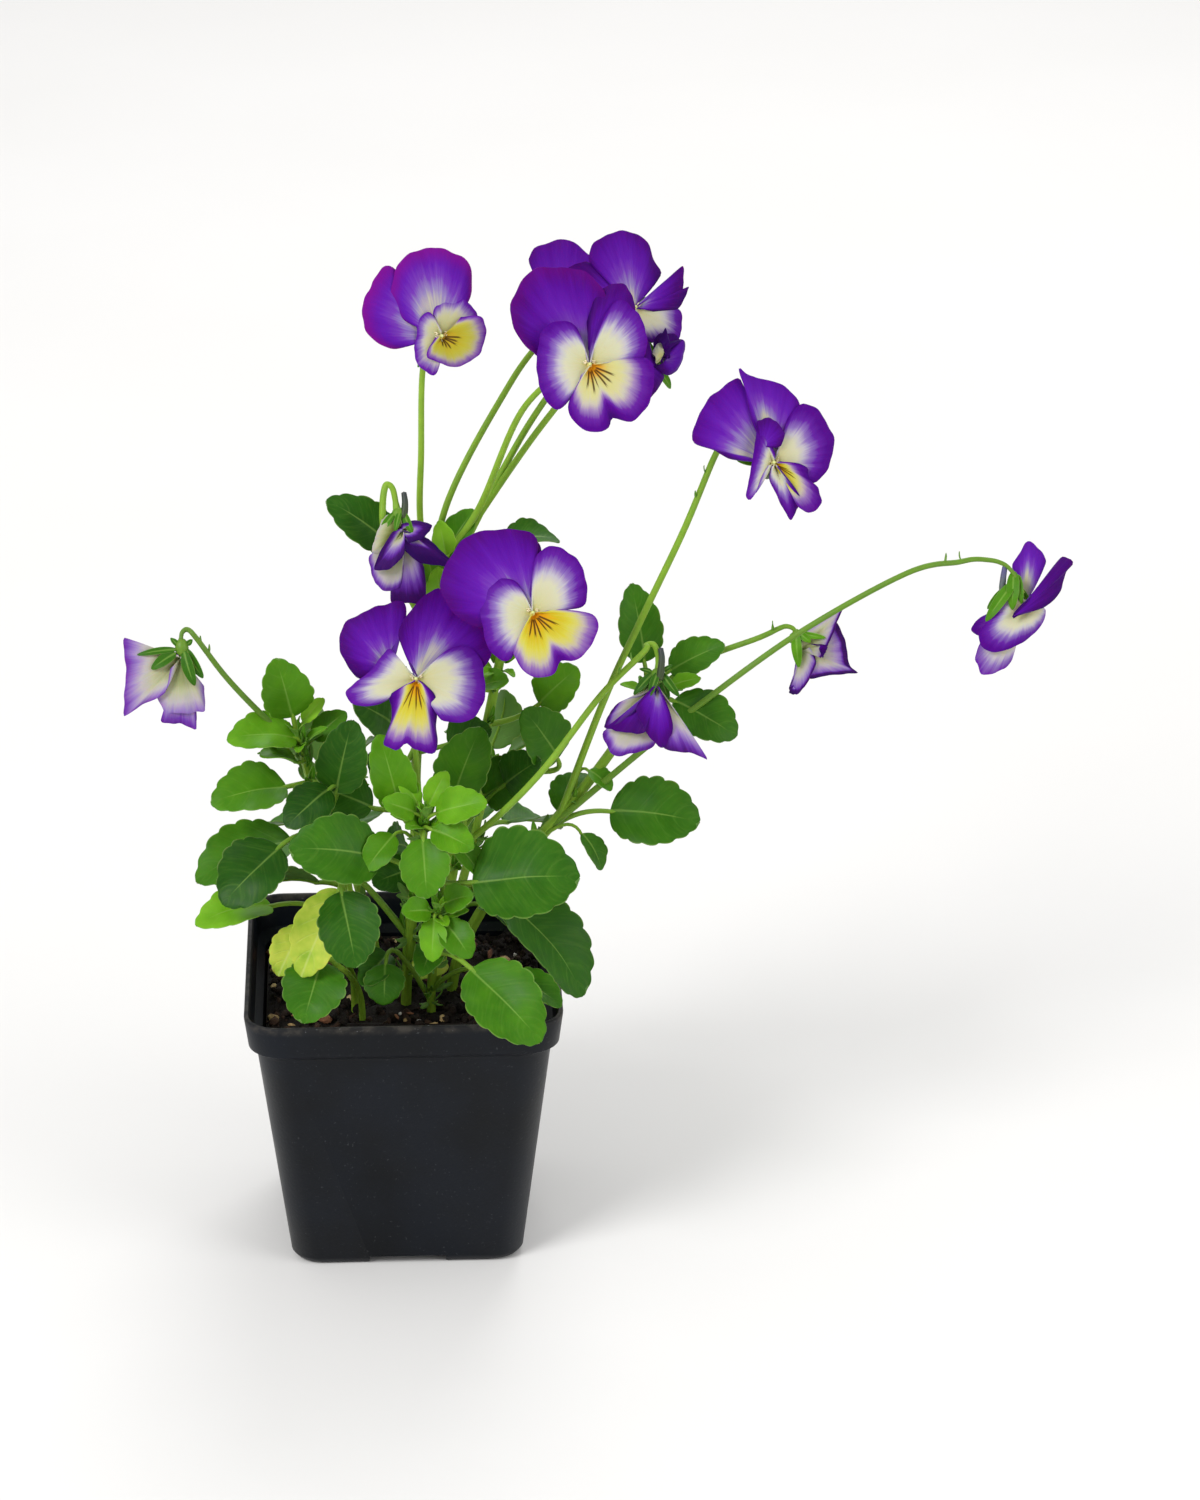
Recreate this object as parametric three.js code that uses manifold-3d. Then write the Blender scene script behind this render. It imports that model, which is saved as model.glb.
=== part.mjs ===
// A viola (small pansy) in a square 9 cm nursery pot: thin-walled pot, soil, leafy shoots with their
// flower stalks, and a head of petals for each flower. Millimetres, +Z up, origin at the centre of the
// pot's underside. +X is to the right and +Y to the back as the plant is seen from its front.

import * as THREE from "three";
import { mergeVertices } from "three/addons/utils/BufferGeometryUtils.js";
import Module from "manifold-3d";

const wasm = await Module();
wasm.setup();

// ---------------------------------------------------------------- driving dimensions

const POT = {
  height: 82, // foot to rim
  rimHalf: 45, // half the width across the rim's top
  rimEdge: 1, // height over which the rim's outer edge turns in
  rimBevel: 0.3,
  bandFootHalf: 43.9, // half the width at the foot of the rim band
  bandHeight: 9.5,
  bandStep: 2, // height of the slope from the body out to the band
  bodyTopHalf: 41.7,
  footHalf: 33.2,
  footRound: 2.4, // height over which the wall turns in to the underside
  cornerRadius: 10, // of the rim in plan
  footCornerRadius: 8,
  wall: 1.4,
};
const NOTCH = { width: 22, depth: 14, height: 2.6 }; // arch in the foot of each side, for drainage
const DRAIN = { radius: 3.4, at: 22 }; // one hole towards each corner of the pot's floor
const BEYOND = 3; // how far a cutting body reaches past what it cuts
const SOIL = { top: 71, relief: 1.3, settled: 0.0006, cells: 6 };
const STONE = { flat: [1, 0.75, 0.6], sunk: 0.2 }; // bark and stones, sunk by a share of their size
const CLEAR = 0.3; // gap between pieces that only stand in or against each other
const HOLE_GAP = 0.4; // added to a stem's radius for its hole in the soil, so its flats stay clear too

const STEM_SIDES = 5;
const PETIOLE = {
  thinnest: 0.6,
  thickest: 0.8,
  share: 0.06, // radius as a share of the blade's width, between those two
  sides: 3,
  steps: 2,
  under: 0.09, // how far along under the blade it ends
  dip: 0.5, // pull of its bend back below the blade's base, as a share of its reach
};
const STALK = { radius: 0.95, sides: 4, step: 11 };
const HOOK = { open: [0, 2.5, -3.5], hanging: [0, 1, -4] }; // bend of a stalk just behind the calyx
const BLADE = {
  thick: 0.8,
  large: 17, // width from which a blade has four teeth to a side, and three below
  toothDepth: 0.08,
  widestAt: 0.72, // below 1 the widest part lies towards the base
  fullness: 0.55, // below 1 the ends are rounder than an ellipse's
  heart: 0.45, // place of the middle that the teeth point away from
  arch: 0.1, // rise of the midrib, as a share of the length
  cup: 0.16, // rise of the margins, as a share of the width
};
const SEPAL = { length: 8, width: 2.6, thick: 0.7, root: 1, widestAt: 0.4 };
const SEPALS = { turns: [0, 115, 245], lean: -0.2 }; // spread behind an open flower's petals
const SEPALS_HANGING = { turns: [0, 65, 130, 230, 295], lean: 1.2 }; // along a hanging flower
const CALYX = { radius: 1.8, behind: 5.1 }; // its middle lies this far behind the throat
const PETAL_THICK = 0.7;
const THROAT = { radius: 1.6, sides: 5, long: [-3, 2], short: [-1.6, 1.6] }; // core that joins the petals

// Directions in which leaves face.
const CAM = [0, -0.75, 0.65];
const UP = [0, -0.2, 1];
const LEFT = [-0.5, -0.55, 0.7];
const RIGHT = [0.5, -0.55, 0.7];
const REAR = [0, 0.55, 0.8];
const REAR_LEFT = [-0.5, 0.45, 0.75];
const REAR_RIGHT = [0.5, 0.45, 0.75];

// Bark and stones that lie on the soil: place and size, the larger ones at the left and the front.
const LITTER = [
  [-36, -32, 3.6], [-34, -14, 3.8], [-20, -36, 3], [9, -36, 2.8], [31, -31, 3], [-30, 30, 3],
];

// Each leafy shoot: the line of its stem from the foot in the soil to the tip, and its leaves as
// [place along the stem 0..1, blade base, blade tip, blade width, direction faced].
const SHOOTS = {
  left: {
    radius: 1.5,
    stem: [[-9, 1, 57], [-10, 1, 78], [-15, 0, 100], [-22, -1, 125], [-26, -2, 142], [-28, -2, 152]],
    leaves: [
      [0.97, [-29, -2, 158], [-32, -5, 177], 15, CAM],
      [0.95, [-29, -4, 153], [-48, -11, 158], 14, UP],
      [0.85, [-29, -4, 146], [-39, -9, 150], 9, UP],
      [0.75, [-32, -6, 140], [-52, -14, 141], 14, LEFT],
      [0.55, [-31, -3, 121], [-58, -14, 114], 20, LEFT],
      [0.35, [-34, -19, 124], [-49, -30, 115], 19, LEFT],
      [0.2, [-37, -14, 106], [-58, -24, 105], 14, LEFT],
    ],
  },
  front: {
    radius: 1.5,
    stem: [[0, -8, 57], [1, -10, 78], [2, -16, 100], [5, -22, 122], [7, -26, 138]],
    leaves: [
      [0.97, [10, -28, 140], [24, -32, 145], 11, CAM],
      [0.96, [4, -27, 140], [-5, -31, 145], 8, CAM],
      [0.94, [9, -30, 136], [20, -35, 132], 10, CAM],
      [0.9, [6, -32, 134], [7, -40, 119], 15, CAM],
      [0.6, [-6, -30, 128], [-31, -37, 134], 21, CAM],
      [0.45, [-15, -34, 119], [-11, -45, 101], 18, CAM],
    ],
  },
  low: {
    radius: 1.3,
    stem: [[8, -12, 57], [8, -14, 78], [9, -20, 92], [10, -26, 104], [10, -28, 110]],
    leaves: [
      [0.97, [12, -30, 113], [20, -35, 118], 9, CAM],
      [0.93, [12, -31, 108], [19, -38, 100], 10, CAM],
      [0.97, [8, -30, 111], [0, -33, 112], 8, CAM],
      [0.4, [17, -42, 98], [36, -59, 84], 21, CAM],
      [0.25, [29, -32, 91], [44, -44, 87], 12, RIGHT],
      [0.2, [-4, -24, 92], [-6, -32, 80], 12, CAM],
    ],
  },
  mid: {
    radius: 1.6,
    stem: [[9, 5, 57], [10, 5, 78], [15, 5, 108], [20, 5, 130], [25, 6, 152], [29, 7, 172]],
    leaves: [
      [0.8, [40, 9, 157], [50, 8, 169], 13, CAM],
      [0.7, [45, 2, 143], [35, -3, 160], 16, CAM],
      [0.6, [15, -5, 134], [23, -3, 155], 15, CAM],
      [0.55, [24, 5, 130], [38, -1, 141], 16, CAM],
      [0.4, [21, -33, 123], [51, -38, 128], 26, CAM],
      [0.3, [30, -17, 107], [51, -27, 82], 23, RIGHT],
    ],
  },
  right: {
    radius: 1.6,
    stem: [[14, 0, 57], [15, 0, 78], [24, 1, 98], [38, 2, 116], [50, 3, 130], [61, 4, 145], [72, 4, 163]],
    leaves: [
      [0.97, [70, 7, 170], [66, 9, 193], 13, CAM],
      [0.97, [77, 5, 168], [92, 2, 177], 11, CAM],
      [0.93, [78, 0, 161], [95, -6, 152], 15, CAM],
      [0.66, [54, 2, 139], [60, -1, 134], 7, RIGHT],
      [0.5, [60, 1, 127], [85, -4, 125], 21, CAM],
      [0.48, [52, -2, 121], [57, -5, 111], 8, RIGHT],
    ],
  },
  back: {
    radius: 1.6,
    stem: [[1, 9, 57], [2, 9, 78], [4, 9, 110], [5, 10, 142], [9, 11, 175], [10, 13, 197]],
    leaves: [
      [0.97, [-1, 9, 206], [-19, 5, 221], 14, CAM],
      [0.98, [14, 14, 201], [22, 17, 213], 9, CAM],
      [0.94, [11, 7, 192], [8, 4, 208], 9, CAM],
      [0.95, [20, 16, 196], [38, 22, 205], 12, UP],
      [0.95, [7, 18, 196], [-4, 30, 203], 13, REAR],
      [0.7, [-2, 8, 152], [-13, -3, 163], 18, CAM],
      [0.75, [12, 19, 162], [18, 32, 168], 16, REAR],
      [0.5, [-8, 6, 127], [-27, 7, 134], 15, CAM],
    ],
  },
  rear_left: {
    radius: 1.4,
    stem: [[-7, 14, 57], [-8, 15, 78], [-13, 22, 96], [-17, 28, 112], [-19, 32, 124]],
    leaves: [
      [0.98, [-20, 34, 129], [-24, 38, 146], 14, REAR_LEFT],
      [0.95, [-24, 33, 126], [-41, 36, 131], 15, REAR_LEFT],
      [0.95, [-15, 36, 125], [-6, 47, 131], 13, REAR],
      [0.7, [-26, 34, 108], [-42, 44, 103], 18, REAR_LEFT],
      [0.4, [-24, 18, 98], [-44, 16, 97], 16, REAR_LEFT],
    ],
  },
  rear_right: {
    radius: 1.4,
    stem: [[11, 15, 57], [12, 16, 78], [18, 23, 96], [23, 29, 114], [26, 33, 127]],
    leaves: [
      [0.98, [27, 35, 132], [31, 38, 149], 14, REAR_RIGHT],
      [0.95, [31, 34, 129], [46, 38, 135], 15, REAR_RIGHT],
      [0.65, [31, 34, 109], [46, 44, 102], 18, REAR_RIGHT],
      [0.6, [20, 39, 107], [20, 57, 101], 19, REAR],
      [0.4, [28, 19, 98], [46, 17, 95], 17, REAR_RIGHT],
    ],
  },
  old: {
    radius: 1.1,
    stem: [[-14, -8, 57], [-14, -10, 78], [-15, -16, 86], [-16, -20, 92]],
    leaves: [
      [0.97, [-19, -30, 112], [-29, -38, 94], 15.5, CAM],
      [0.8, [-28, -25, 104], [-35, -32, 93], 11, LEFT],
    ],
  },
  foot_leaf: {
    radius: 1,
    stem: [[-12, -16, 57], [-12, -18, 77], [-14, -23, 86], [-17, -27, 90]],
    leaves: [[0.97, [-21, -34, 89], [-21, -50, 83.5], 18, CAM]],
  },
};

// Each flower: the shoot it grows on and where, its stalk's line on the way, the throat where its petals
// meet, the way its face looks, and the way its calyx points where that differs, as on a hanging flower.
// Each petal is [tip, width, more]: the tip is right, up and out of the face as seen from its front, and
// more may hold layer (offset out of the face), cup (edges forward), bend (tip forward), notch (depth of
// the nick in the tip) and face (the way this petal looks, in the flower's own directions).
const VIEWER = [0.05, -0.92, 0.39];
const FLOWERS = {
  a: {
    shoot: "back", from: 0.93, stalk: [[7, 12, 212], [7.5, 8, 234], [8, 3, 257]],
    throat: [13, -5, 272], faces: [0.32, -0.88, 0.33],
    petals: [
      [[-20.5, 12, -4], 23.5, { layer: -2.4, cup: -0.1 }],
      [[-0.5, 23.5, -2], 25.5, { layer: -1.5, cup: 0.1 }],
      [[12.5, 7, 1], 15, { layer: 0, cup: -0.1 }],
      [[-6, -9.5, 0], 10, { layer: -0.6, cup: -0.3 }],
      [[8, -9.5, 4], 19.5, { layer: 1.4, cup: -0.2, notch: 0.06 }],
    ],
  },
  b: {
    shoot: "back", from: 0.99, stalk: [[23, 13, 214], [36, 6, 247]],
    throat: [53.5, -10, 265], faces: [0.1, -0.92, 0.38],
    petals: [
      [[8, 20, -3], 21, { layer: -2.4 }],
      [[-10.5, 27, -3], 28, { layer: -1.5, cup: 0.06 }],
      [[14.5, 14.5, 0], 17, { layer: 0.1, cup: -0.05 }],
      [[-15, 0.5, 1], 24.5, { layer: 0, cup: -0.1 }],
      [[11.5, -16, 1], 27, { layer: 1.4, cup: -0.1, notch: 0.14 }],
    ],
  },
  c: {
    shoot: "back", from: 0.88, stalk: [[31, 17, 226], [44, 17, 248]],
    throat: [67, 20, 271], faces: [0.35, -0.86, 0.36],
    petals: [
      [[-14, 13, -3], 17, { layer: -2.4 }],
      [[0.5, 21.5, -3], 21.5, { layer: -1.5, cup: 0.1 }],
      [[14.5, 8.5, 3], 13, { layer: 0.4, cup: 0.7, face: [-0.4, 0.7, 0.6] }],
      [[-12, -5, 0], 14, { layer: 0.2 }],
      [[11, -6.5, 1], 16, { layer: 1.4, cup: -0.1 }],
    ],
  },
  d: {
    shoot: "back", from: 0.94, stalk: [[25, 16, 214], [42, 14, 240], [58, 16, 258]],
    throat: [75, 12, 257], faces: [0.45, -0.75, 0.3],
    petals: [
      [[3, 11.5, 1], 8, { layer: -1, cup: 0.4 }],
      [[7, 4.5, 2], 10, { layer: -0.4, cup: 0.5 }],
      [[4.5, -7, 2], 11, { layer: 0.4, cup: 0.4 }],
      [[-5, -12, -1], 11, { layer: -1, cup: -0.1 }],
      [[-5, 4, 1], 8, { layer: 0, cup: 0.4 }],
    ],
  },
  e: {
    shoot: "back", from: 0.84, stalk: [[14, 20, 212], [33, 35, 244], [44, 42, 256]],
    throat: [47, 34, 260], faces: [-0.15, -0.9, 0.4],
    petals: [
      [[-15, 18, -2], 19, { layer: -2.4 }],
      [[4, 21, -2], 20, { layer: -1.5 }],
      [[13, 3, 0], 15, { layer: 0.2 }],
      [[-14, -1, 0], 15, { layer: 0.2 }],
      [[2, -14, 1], 17, { layer: 1.4, notch: 0.12 }],
    ],
  },
  f: {
    shoot: "right", from: 0.6, stalk: [[58, -1, 162], [68, -4, 187], [87, 2, 229]],
    throat: [104, -8, 235], faces: [0.25, -0.9, 0.33],
    petals: [
      [[-19, 18, -4], 24, { layer: -2.4, cup: 0.1 }],
      [[3.5, 24, -2], 20, { layer: -1.5, cup: 0.35 }],
      [[18.8, 4.3, 0], 23, { layer: 0.1, cup: -0.05 }],
      [[-9, -7, 4], 17, { layer: 0.4, cup: 0.2, face: [-0.85, 0.3, 0.5] }],
      [[8.4, -15.6, 1], 16, { layer: 1.4, cup: -0.3, notch: 0.12 }],
    ],
  },
  g: {
    shoot: "right", from: 0.55,
    stalk: [[68, -2, 146], [85, -3, 161], [113, -2, 182], [143, 0, 199], [163, 1, 203]],
    throat: [176, 0, 187], faces: [0.72, 0.52, -0.46],
    petals: [
      [[3, 17.5, 0], 13, { layer: -1.6, cup: 0.15 }],
      [[-8, 16.5, 7], 17, { layer: -0.8, cup: 0.15, face: [-0.3, -0.5, 1] }],
      [[10, -5, 0], 15, { layer: 0.1, cup: -0.05 }],
      [[-6, -12, -3], 19, { layer: 0.2, cup: -0.2, face: [0.5, 0.2, 1] }],
      [[1, -22, -2], 15, { layer: 1.2, cup: 0.1, notch: 0.1 }],
    ],
  },
  h: {
    shoot: "right", from: 0.98, stalk: [[85, 7, 170], [100, 7, 177], [109, 6, 181]],
    throat: [114, 6, 173], faces: VIEWER, hangs: [0.45, -0.15, -0.88],
    petals: [
      [[13, 8, -1], 7, { cup: 0.5 }],
      [[13.5, -10, 1], 17, { cup: 0.35 }],
      [[-2, -15.5, 2], 6, { cup: 0.5 }],
      [[7, -9, -3], 11, { cup: 0.4 }],
      [[4, -11, 3], 8, { cup: 0.4 }],
    ],
  },
  i: {
    shoot: "front", from: 0.7, stalk: [[22, -26, 133], [39, -29, 152], [56, -26, 174], [68, -22, 185]],
    throat: [71.5, -24, 176], faces: VIEWER, hangs: [0.12, -0.25, -0.95],
    petals: [
      [[13.5, -20, 1], 14, { layer: 0.6, cup: 0.25 }],
      [[0, -15.5, 4], 15, { cup: -0.4 }],
      [[-13.5, -8, 1], 10, { cup: 0.4 }],
      [[-11.5, -16.5, -1], 14, { cup: 0.2 }],
      [[4, -13, -3], 13, { cup: 0.2 }],
    ],
  },
  j: {
    shoot: "left", from: 0.9, stalk: [[-38, -4, 160], [-48, -4, 172], [-56, -4, 184]],
    throat: [-60.5, -5, 178.5], faces: VIEWER, hangs: [-0.3, -0.2, -0.9],
    petals: [
      [[-14, -1.5, 1], 9, { layer: 0.6, cup: 0.1 }],
      [[-16, -6.5, 1], 18, { cup: 0.15 }],
      [[1, -14, 2], 13, { cup: -0.2 }],
      [[-1.5, -18.5, 0], 12, { cup: 0.2 }],
      [[5.5, -12, -1], 9, { cup: 0.2 }],
    ],
  },
  k: {
    shoot: "back", from: 0.82, stalk: [[-1, 2, 203], [-4, -3, 220], [-1, -4, 227]],
    throat: [2, -6, 216], faces: VIEWER, hangs: [0.1, -0.15, -0.98],
    petals: [
      [[-8, -12, 2], 8, { cup: 0.4 }],
      [[-5, -17, 0], 9, { cup: 0.3 }],
      [[15, -11, 1], 9, { cup: 0.5 }],
      [[4.5, -18.5, 1], 10, { cup: 0.3 }],
      [[8.5, -3, 2], 5, { layer: 0.8, cup: 0.2 }],
    ],
  },
  l: {
    shoot: "mid", from: 0.99, stalk: [[31, 0, 186], [34, -14, 196]],
    throat: [37, -34, 202], faces: [0.05, -0.9, 0.43],
    petals: [
      [[-3, 24.5, -3], 23, { layer: -2.4 }],
      [[-22, 15, -3], 26.5, { layer: -1.5, cup: 0.06 }],
      [[12.2, 15.4, 0], 18.5, { layer: 0.1, cup: -0.05 }],
      [[-14.2, -1, 1], 23, { layer: 0, cup: -0.1 }],
      [[11, -15.8, 1], 25, { layer: 1.4, cup: -0.1, notch: 0.13 }],
    ],
  },
  m: {
    shoot: "front", from: 0.85, stalk: [[5, -14, 145], [4, -12, 165]],
    throat: [5, -29, 181], faces: [-0.02, -0.92, 0.38],
    petals: [
      [[12.5, 23.5, -4], 27, { layer: -2.4, cup: 0.25 }],
      [[-19, 17, -3], 24, { layer: -1.5, cup: 0.06 }],
      [[19.5, -1, 0], 21, { layer: 0.1, cup: -0.05 }],
      [[-19, 0.5, 1], 16, { layer: 0.2, cup: -0.2 }],
      [[-1, -18.5, 1], 17, { layer: 1.4, cup: -0.3, notch: 0.14 }],
    ],
  },
};
const FAN = {
  half: 72, // outline of a petal: a fan from the throat, this many degrees to each side
  slices: 5,
  slicesNicked: 6,
  power: 0.8,
  widest: 1.078, // widest part of the fan for a petal of length 1
  nick: 0.2, // half width of the nick in the tip, in radians
};
const SPUR = [[0, -0.6, -0.6], [0, -3.4, -4.4], [0, -3.6, -8.6]]; // hollow tube behind the lowest petal
const SPUR_RADIUS = 0.9;

// ---------------------------------------------------------------- small vector helpers

const vec = (p) => new THREE.Vector3(...p);
const radians = THREE.MathUtils.degToRad;

// ---------------------------------------------------------------- solids

function solidOf(geometry) {
  const bare = geometry.clone();
  bare.deleteAttribute("normal");
  bare.deleteAttribute("uv");
  const merged = mergeVertices(bare, 1e-4);
  const mesh = new wasm.Mesh({
    numProp: 3,
    vertProperties: merged.attributes.position.array,
    triVerts: new Uint32Array(merged.index.array),
  });
  return new wasm.Manifold(mesh);
}

function geometryOf(solid) {
  const mesh = solid.getMesh();
  const geometry = new THREE.BufferGeometry();
  geometry.setAttribute("position", new THREE.BufferAttribute(mesh.vertProperties, 3));
  geometry.setIndex(new THREE.BufferAttribute(mesh.triVerts, 1));
  geometry.computeVertexNormals();
  return geometry;
}

// One body from all solids; crumbs cut off where two of them only graze each other are dropped.
function fuse(solids) {
  const whole = solids.reduce((sum, solid) => sum.add(solid));
  return whole.decompose().reduce((a, b) => (a.volume() > b.volume() ? a : b));
}

function boxSolid(size, centre) {
  return solidOf(new THREE.BoxGeometry(...size).translate(...centre));
}

function drumSolid(radius, height, centre, sides = 6) {
  const drum = new THREE.CylinderGeometry(radius, radius, height, sides);
  return solidOf(drum.rotateX(Math.PI / 2).translate(...centre));
}

// A tube of constant radius along a curve.
function tubeSolid(curve, radius, sides, steps) {
  const corners = Array.from({ length: sides }, (_, i) => {
    const turn = (2 * Math.PI * i) / sides;
    return new THREE.Vector2(radius * Math.cos(turn), radius * Math.sin(turn));
  });
  const section = new THREE.Shape(corners);
  return solidOf(new THREE.ExtrudeGeometry(section, { extrudePath: curve, steps, curveSegments: 1 }));
}

// A closed body over triangles on its top face: the bottom face lies `thick` below along `down`.
function slabSolid(points, triangles, rim, down) {
  const count = points.length;
  const all = [...points, ...points.map((p) => p.clone().add(down))];
  const faces = [];
  for (const [a, b, c] of triangles) {
    faces.push(a, b, c, count + a, count + c, count + b);
  }
  rim.forEach((a, i) => {
    const b = rim[(i + 1) % rim.length];
    faces.push(b, a, count + a, b, count + a, count + b);
  });
  const geometry = new THREE.BufferGeometry().setFromPoints(all);
  geometry.setIndex(faces);
  return solidOf(geometry);
}

// ---------------------------------------------------------------- pot and soil

// Closed square outline with rounded corners, anticlockwise seen from above.
function roundedSquare(half, radius, z, segments = 3) {
  const centre = half - radius;
  const points = [];
  for (const [sx, sy, start] of [[1, 1, 0], [-1, 1, 90], [-1, -1, 180], [1, -1, 270]]) {
    for (let i = 0; i <= segments; i++) {
      const turn = radians(start + (90 * i) / segments);
      const x = sx * centre + radius * Math.cos(turn);
      const y = sy * centre + radius * Math.sin(turn);
      points.push(new THREE.Vector3(x, y, z));
    }
  }
  return points;
}

// A solid through a stack of outlines with equal numbers of points, from the lowest to the highest.
function loftSolid(rings) {
  const n = rings[0].length;
  const points = rings.flat();
  const last = (rings.length - 1) * n;
  const faces = [];
  for (let k = 0; k < rings.length - 1; k++) {
    for (let i = 0; i < n; i++) {
      const a = k * n + i;
      const b = k * n + ((i + 1) % n);
      faces.push(a, b, b + n, a, b + n, a + n);
    }
  }
  for (let i = 1; i < n - 1; i++) {
    faces.push(0, i + 1, i, last, last + i, last + i + 1);
  }
  const geometry = new THREE.BufferGeometry().setFromPoints(points);
  geometry.setIndex(faces);
  return solidOf(geometry);
}

// The body's half width at a height between its foot and the foot of the band.
function bodyHalf(z) {
  const top = POT.height - POT.bandHeight - POT.bandStep;
  return THREE.MathUtils.mapLinear(z, 0, top, POT.footHalf, POT.bodyTopHalf);
}

function cornerRadius(z) {
  return THREE.MathUtils.mapLinear(z, 0, POT.height, POT.footCornerRadius, POT.cornerRadius);
}

// Boxes over the arch in the foot of each of the four sides, `grow` larger than the arch.
function archBoxes(grow) {
  const inner = POT.footHalf - NOTCH.depth - grow;
  const outer = POT.footHalf + grow + BEYOND;
  const width = NOTCH.width + 2 * grow;
  const height = NOTCH.height + grow + BEYOND;
  const middle = (inner + outer) / 2;
  return [[0, -1], [0, 1], [-1, 0], [1, 0]].map(([x, y]) => {
    const size = x ? [outer - inner, width, height] : [width, outer - inner, height];
    return boxSolid(size, [x * middle, y * middle, NOTCH.height + grow - height / 2]);
  });
}

// The room inside the pot, with steps over the arches; `gap` smaller all round for what fills it.
function potCavity(gap) {
  const inset = POT.wall + gap;
  const step = POT.height - POT.bandHeight;
  const levels = [
    [bodyHalf(inset) - inset, inset],
    [POT.bodyTopHalf - inset, step - POT.bandStep],
    [POT.bandFootHalf - inset, step],
    [POT.rimHalf - inset, POT.height + BEYOND],
  ];
  const room = loftSolid(levels.map(([half, z]) => roundedSquare(half, cornerRadius(z) - inset, z)));
  return archBoxes(inset).reduce((left, arch) => left.subtract(arch), room);
}

function potSolid() {
  const step = POT.height - POT.bandHeight;
  const turn = (1 - Math.SQRT1_2) * POT.footRound;
  const levels = [
    [POT.footHalf - POT.footRound, 0],
    [POT.footHalf - turn, turn],
    [bodyHalf(POT.footRound), POT.footRound],
    [POT.bodyTopHalf, step - POT.bandStep],
    [POT.bandFootHalf, step],
    [POT.rimHalf, POT.height - POT.rimEdge],
    [POT.rimHalf - POT.rimBevel, POT.height],
  ];
  let pot = loftSolid(levels.map(([half, z]) => roundedSquare(half, cornerRadius(z), z)));
  pot = pot.subtract(potCavity(0));
  for (const arch of archBoxes(0)) pot = pot.subtract(arch);
  for (const [x, y] of [[1, 1], [-1, 1], [-1, -1], [1, -1]]) {
    pot = pot.subtract(drumSolid(DRAIN.radius, 2 * BEYOND, [x * DRAIN.at, y * DRAIN.at, 0]));
  }
  return pot;
}

function stemCurve(shoot) {
  return new THREE.CatmullRomCurve3(shoot.stem.map(vec), false, "catmullrom", 0.5);
}

function stemSolid(shoot, radius) {
  return tubeSolid(stemCurve(shoot), radius, STEM_SIDES, 2 * (shoot.stem.length - 1));
}

// Height of the soil's surface: low lumps, settled a little towards the walls.
function soilHeight(x, y) {
  const lumps = Math.sin(0.31 * x + 1.3) * Math.cos(0.27 * y - 0.4) + 0.6 * Math.sin(0.53 * x - 0.47 * y);
  return SOIL.top + SOIL.relief * lumps - SOIL.settled * (x * x + y * y);
}

function soilSolid() {
  const { cells } = SOIL;
  const row = cells + 1;
  const points = [];
  const faces = [];
  for (let j = 0; j <= cells; j++) {
    for (let i = 0; i <= cells; i++) {
      const x = THREE.MathUtils.mapLinear(i, 0, cells, -POT.rimHalf, POT.rimHalf);
      const y = THREE.MathUtils.mapLinear(j, 0, cells, -POT.rimHalf, POT.rimHalf);
      points.push(new THREE.Vector3(x, y, soilHeight(x, y)));
      if (i < cells && j < cells) {
        const a = j * row + i;
        faces.push([a, a + 1, a + row + 1], [a, a + row + 1, a + row]);
      }
    }
  }
  const rim = [];
  for (let i = 0; i < cells; i++) rim.push(i);
  for (let j = 0; j < cells; j++) rim.push(j * row + cells);
  for (let i = cells; i > 0; i--) rim.push(cells * row + i);
  for (let j = cells; j > 0; j--) rim.push(j * row);
  let soil = slabSolid(points, faces, rim, new THREE.Vector3(0, 0, -POT.height));
  for (const [x, y, size] of LITTER) {
    const stone = new THREE.IcosahedronGeometry(size, 0).scale(...STONE.flat).rotateZ(x + y);
    soil = soil.add(solidOf(stone.translate(x, y, soilHeight(x, y) - STONE.sunk * size)));
  }
  soil = soil.intersect(potCavity(CLEAR));
  for (const shoot of Object.values(SHOOTS)) {
    soil = soil.subtract(stemSolid(shoot, shoot.radius + HOLE_GAP).translate([0, 0, -CLEAR]));
  }
  return soil;
}

// ---------------------------------------------------------------- leaves

// Where a blade lies: along, side and face directions and its length.
function bladeFrame([, base, tip, width, face]) {
  const start = vec(base);
  const along = vec(tip).sub(start);
  const length = along.length();
  along.normalize();
  const side = vec(face).cross(along).normalize();
  return { start, along, side, normal: along.clone().cross(side), length, width };
}

// A point of a blade: q runs round the margin from base (0) to tip (1), w across from -1 to 1.
function bladePoint(frame, q, w, teeth) {
  const u = 0.5 - 0.5 * Math.cos(Math.PI * q);
  const spread = Math.sin(Math.PI * u ** BLADE.widestAt) ** BLADE.fullness;
  const tooth = 1 - BLADE.toothDepth * (1 - Math.abs(Math.sin(Math.PI * teeth * q)));
  const centre = BLADE.heart * frame.length;
  const x = centre + tooth * (u * frame.length - centre);
  const y = 0.5 * frame.width * spread * tooth;
  const px = THREE.MathUtils.lerp(u * frame.length, x, Math.abs(w));
  const py = w * y;
  const arch = BLADE.arch * frame.length * 4 * u * (1 - u);
  const cup = BLADE.cup * frame.width * (2 * py / frame.width) ** 2;
  return frame.start
    .clone()
    .addScaledVector(frame.along, px)
    .addScaledVector(frame.side, py)
    .addScaledVector(frame.normal, arch + cup);
}

// Rounded teeth on each side of a blade: fewer on a small leaf.
function teethOf(frame) {
  return frame.width >= BLADE.large ? 4 : 3;
}

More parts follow.
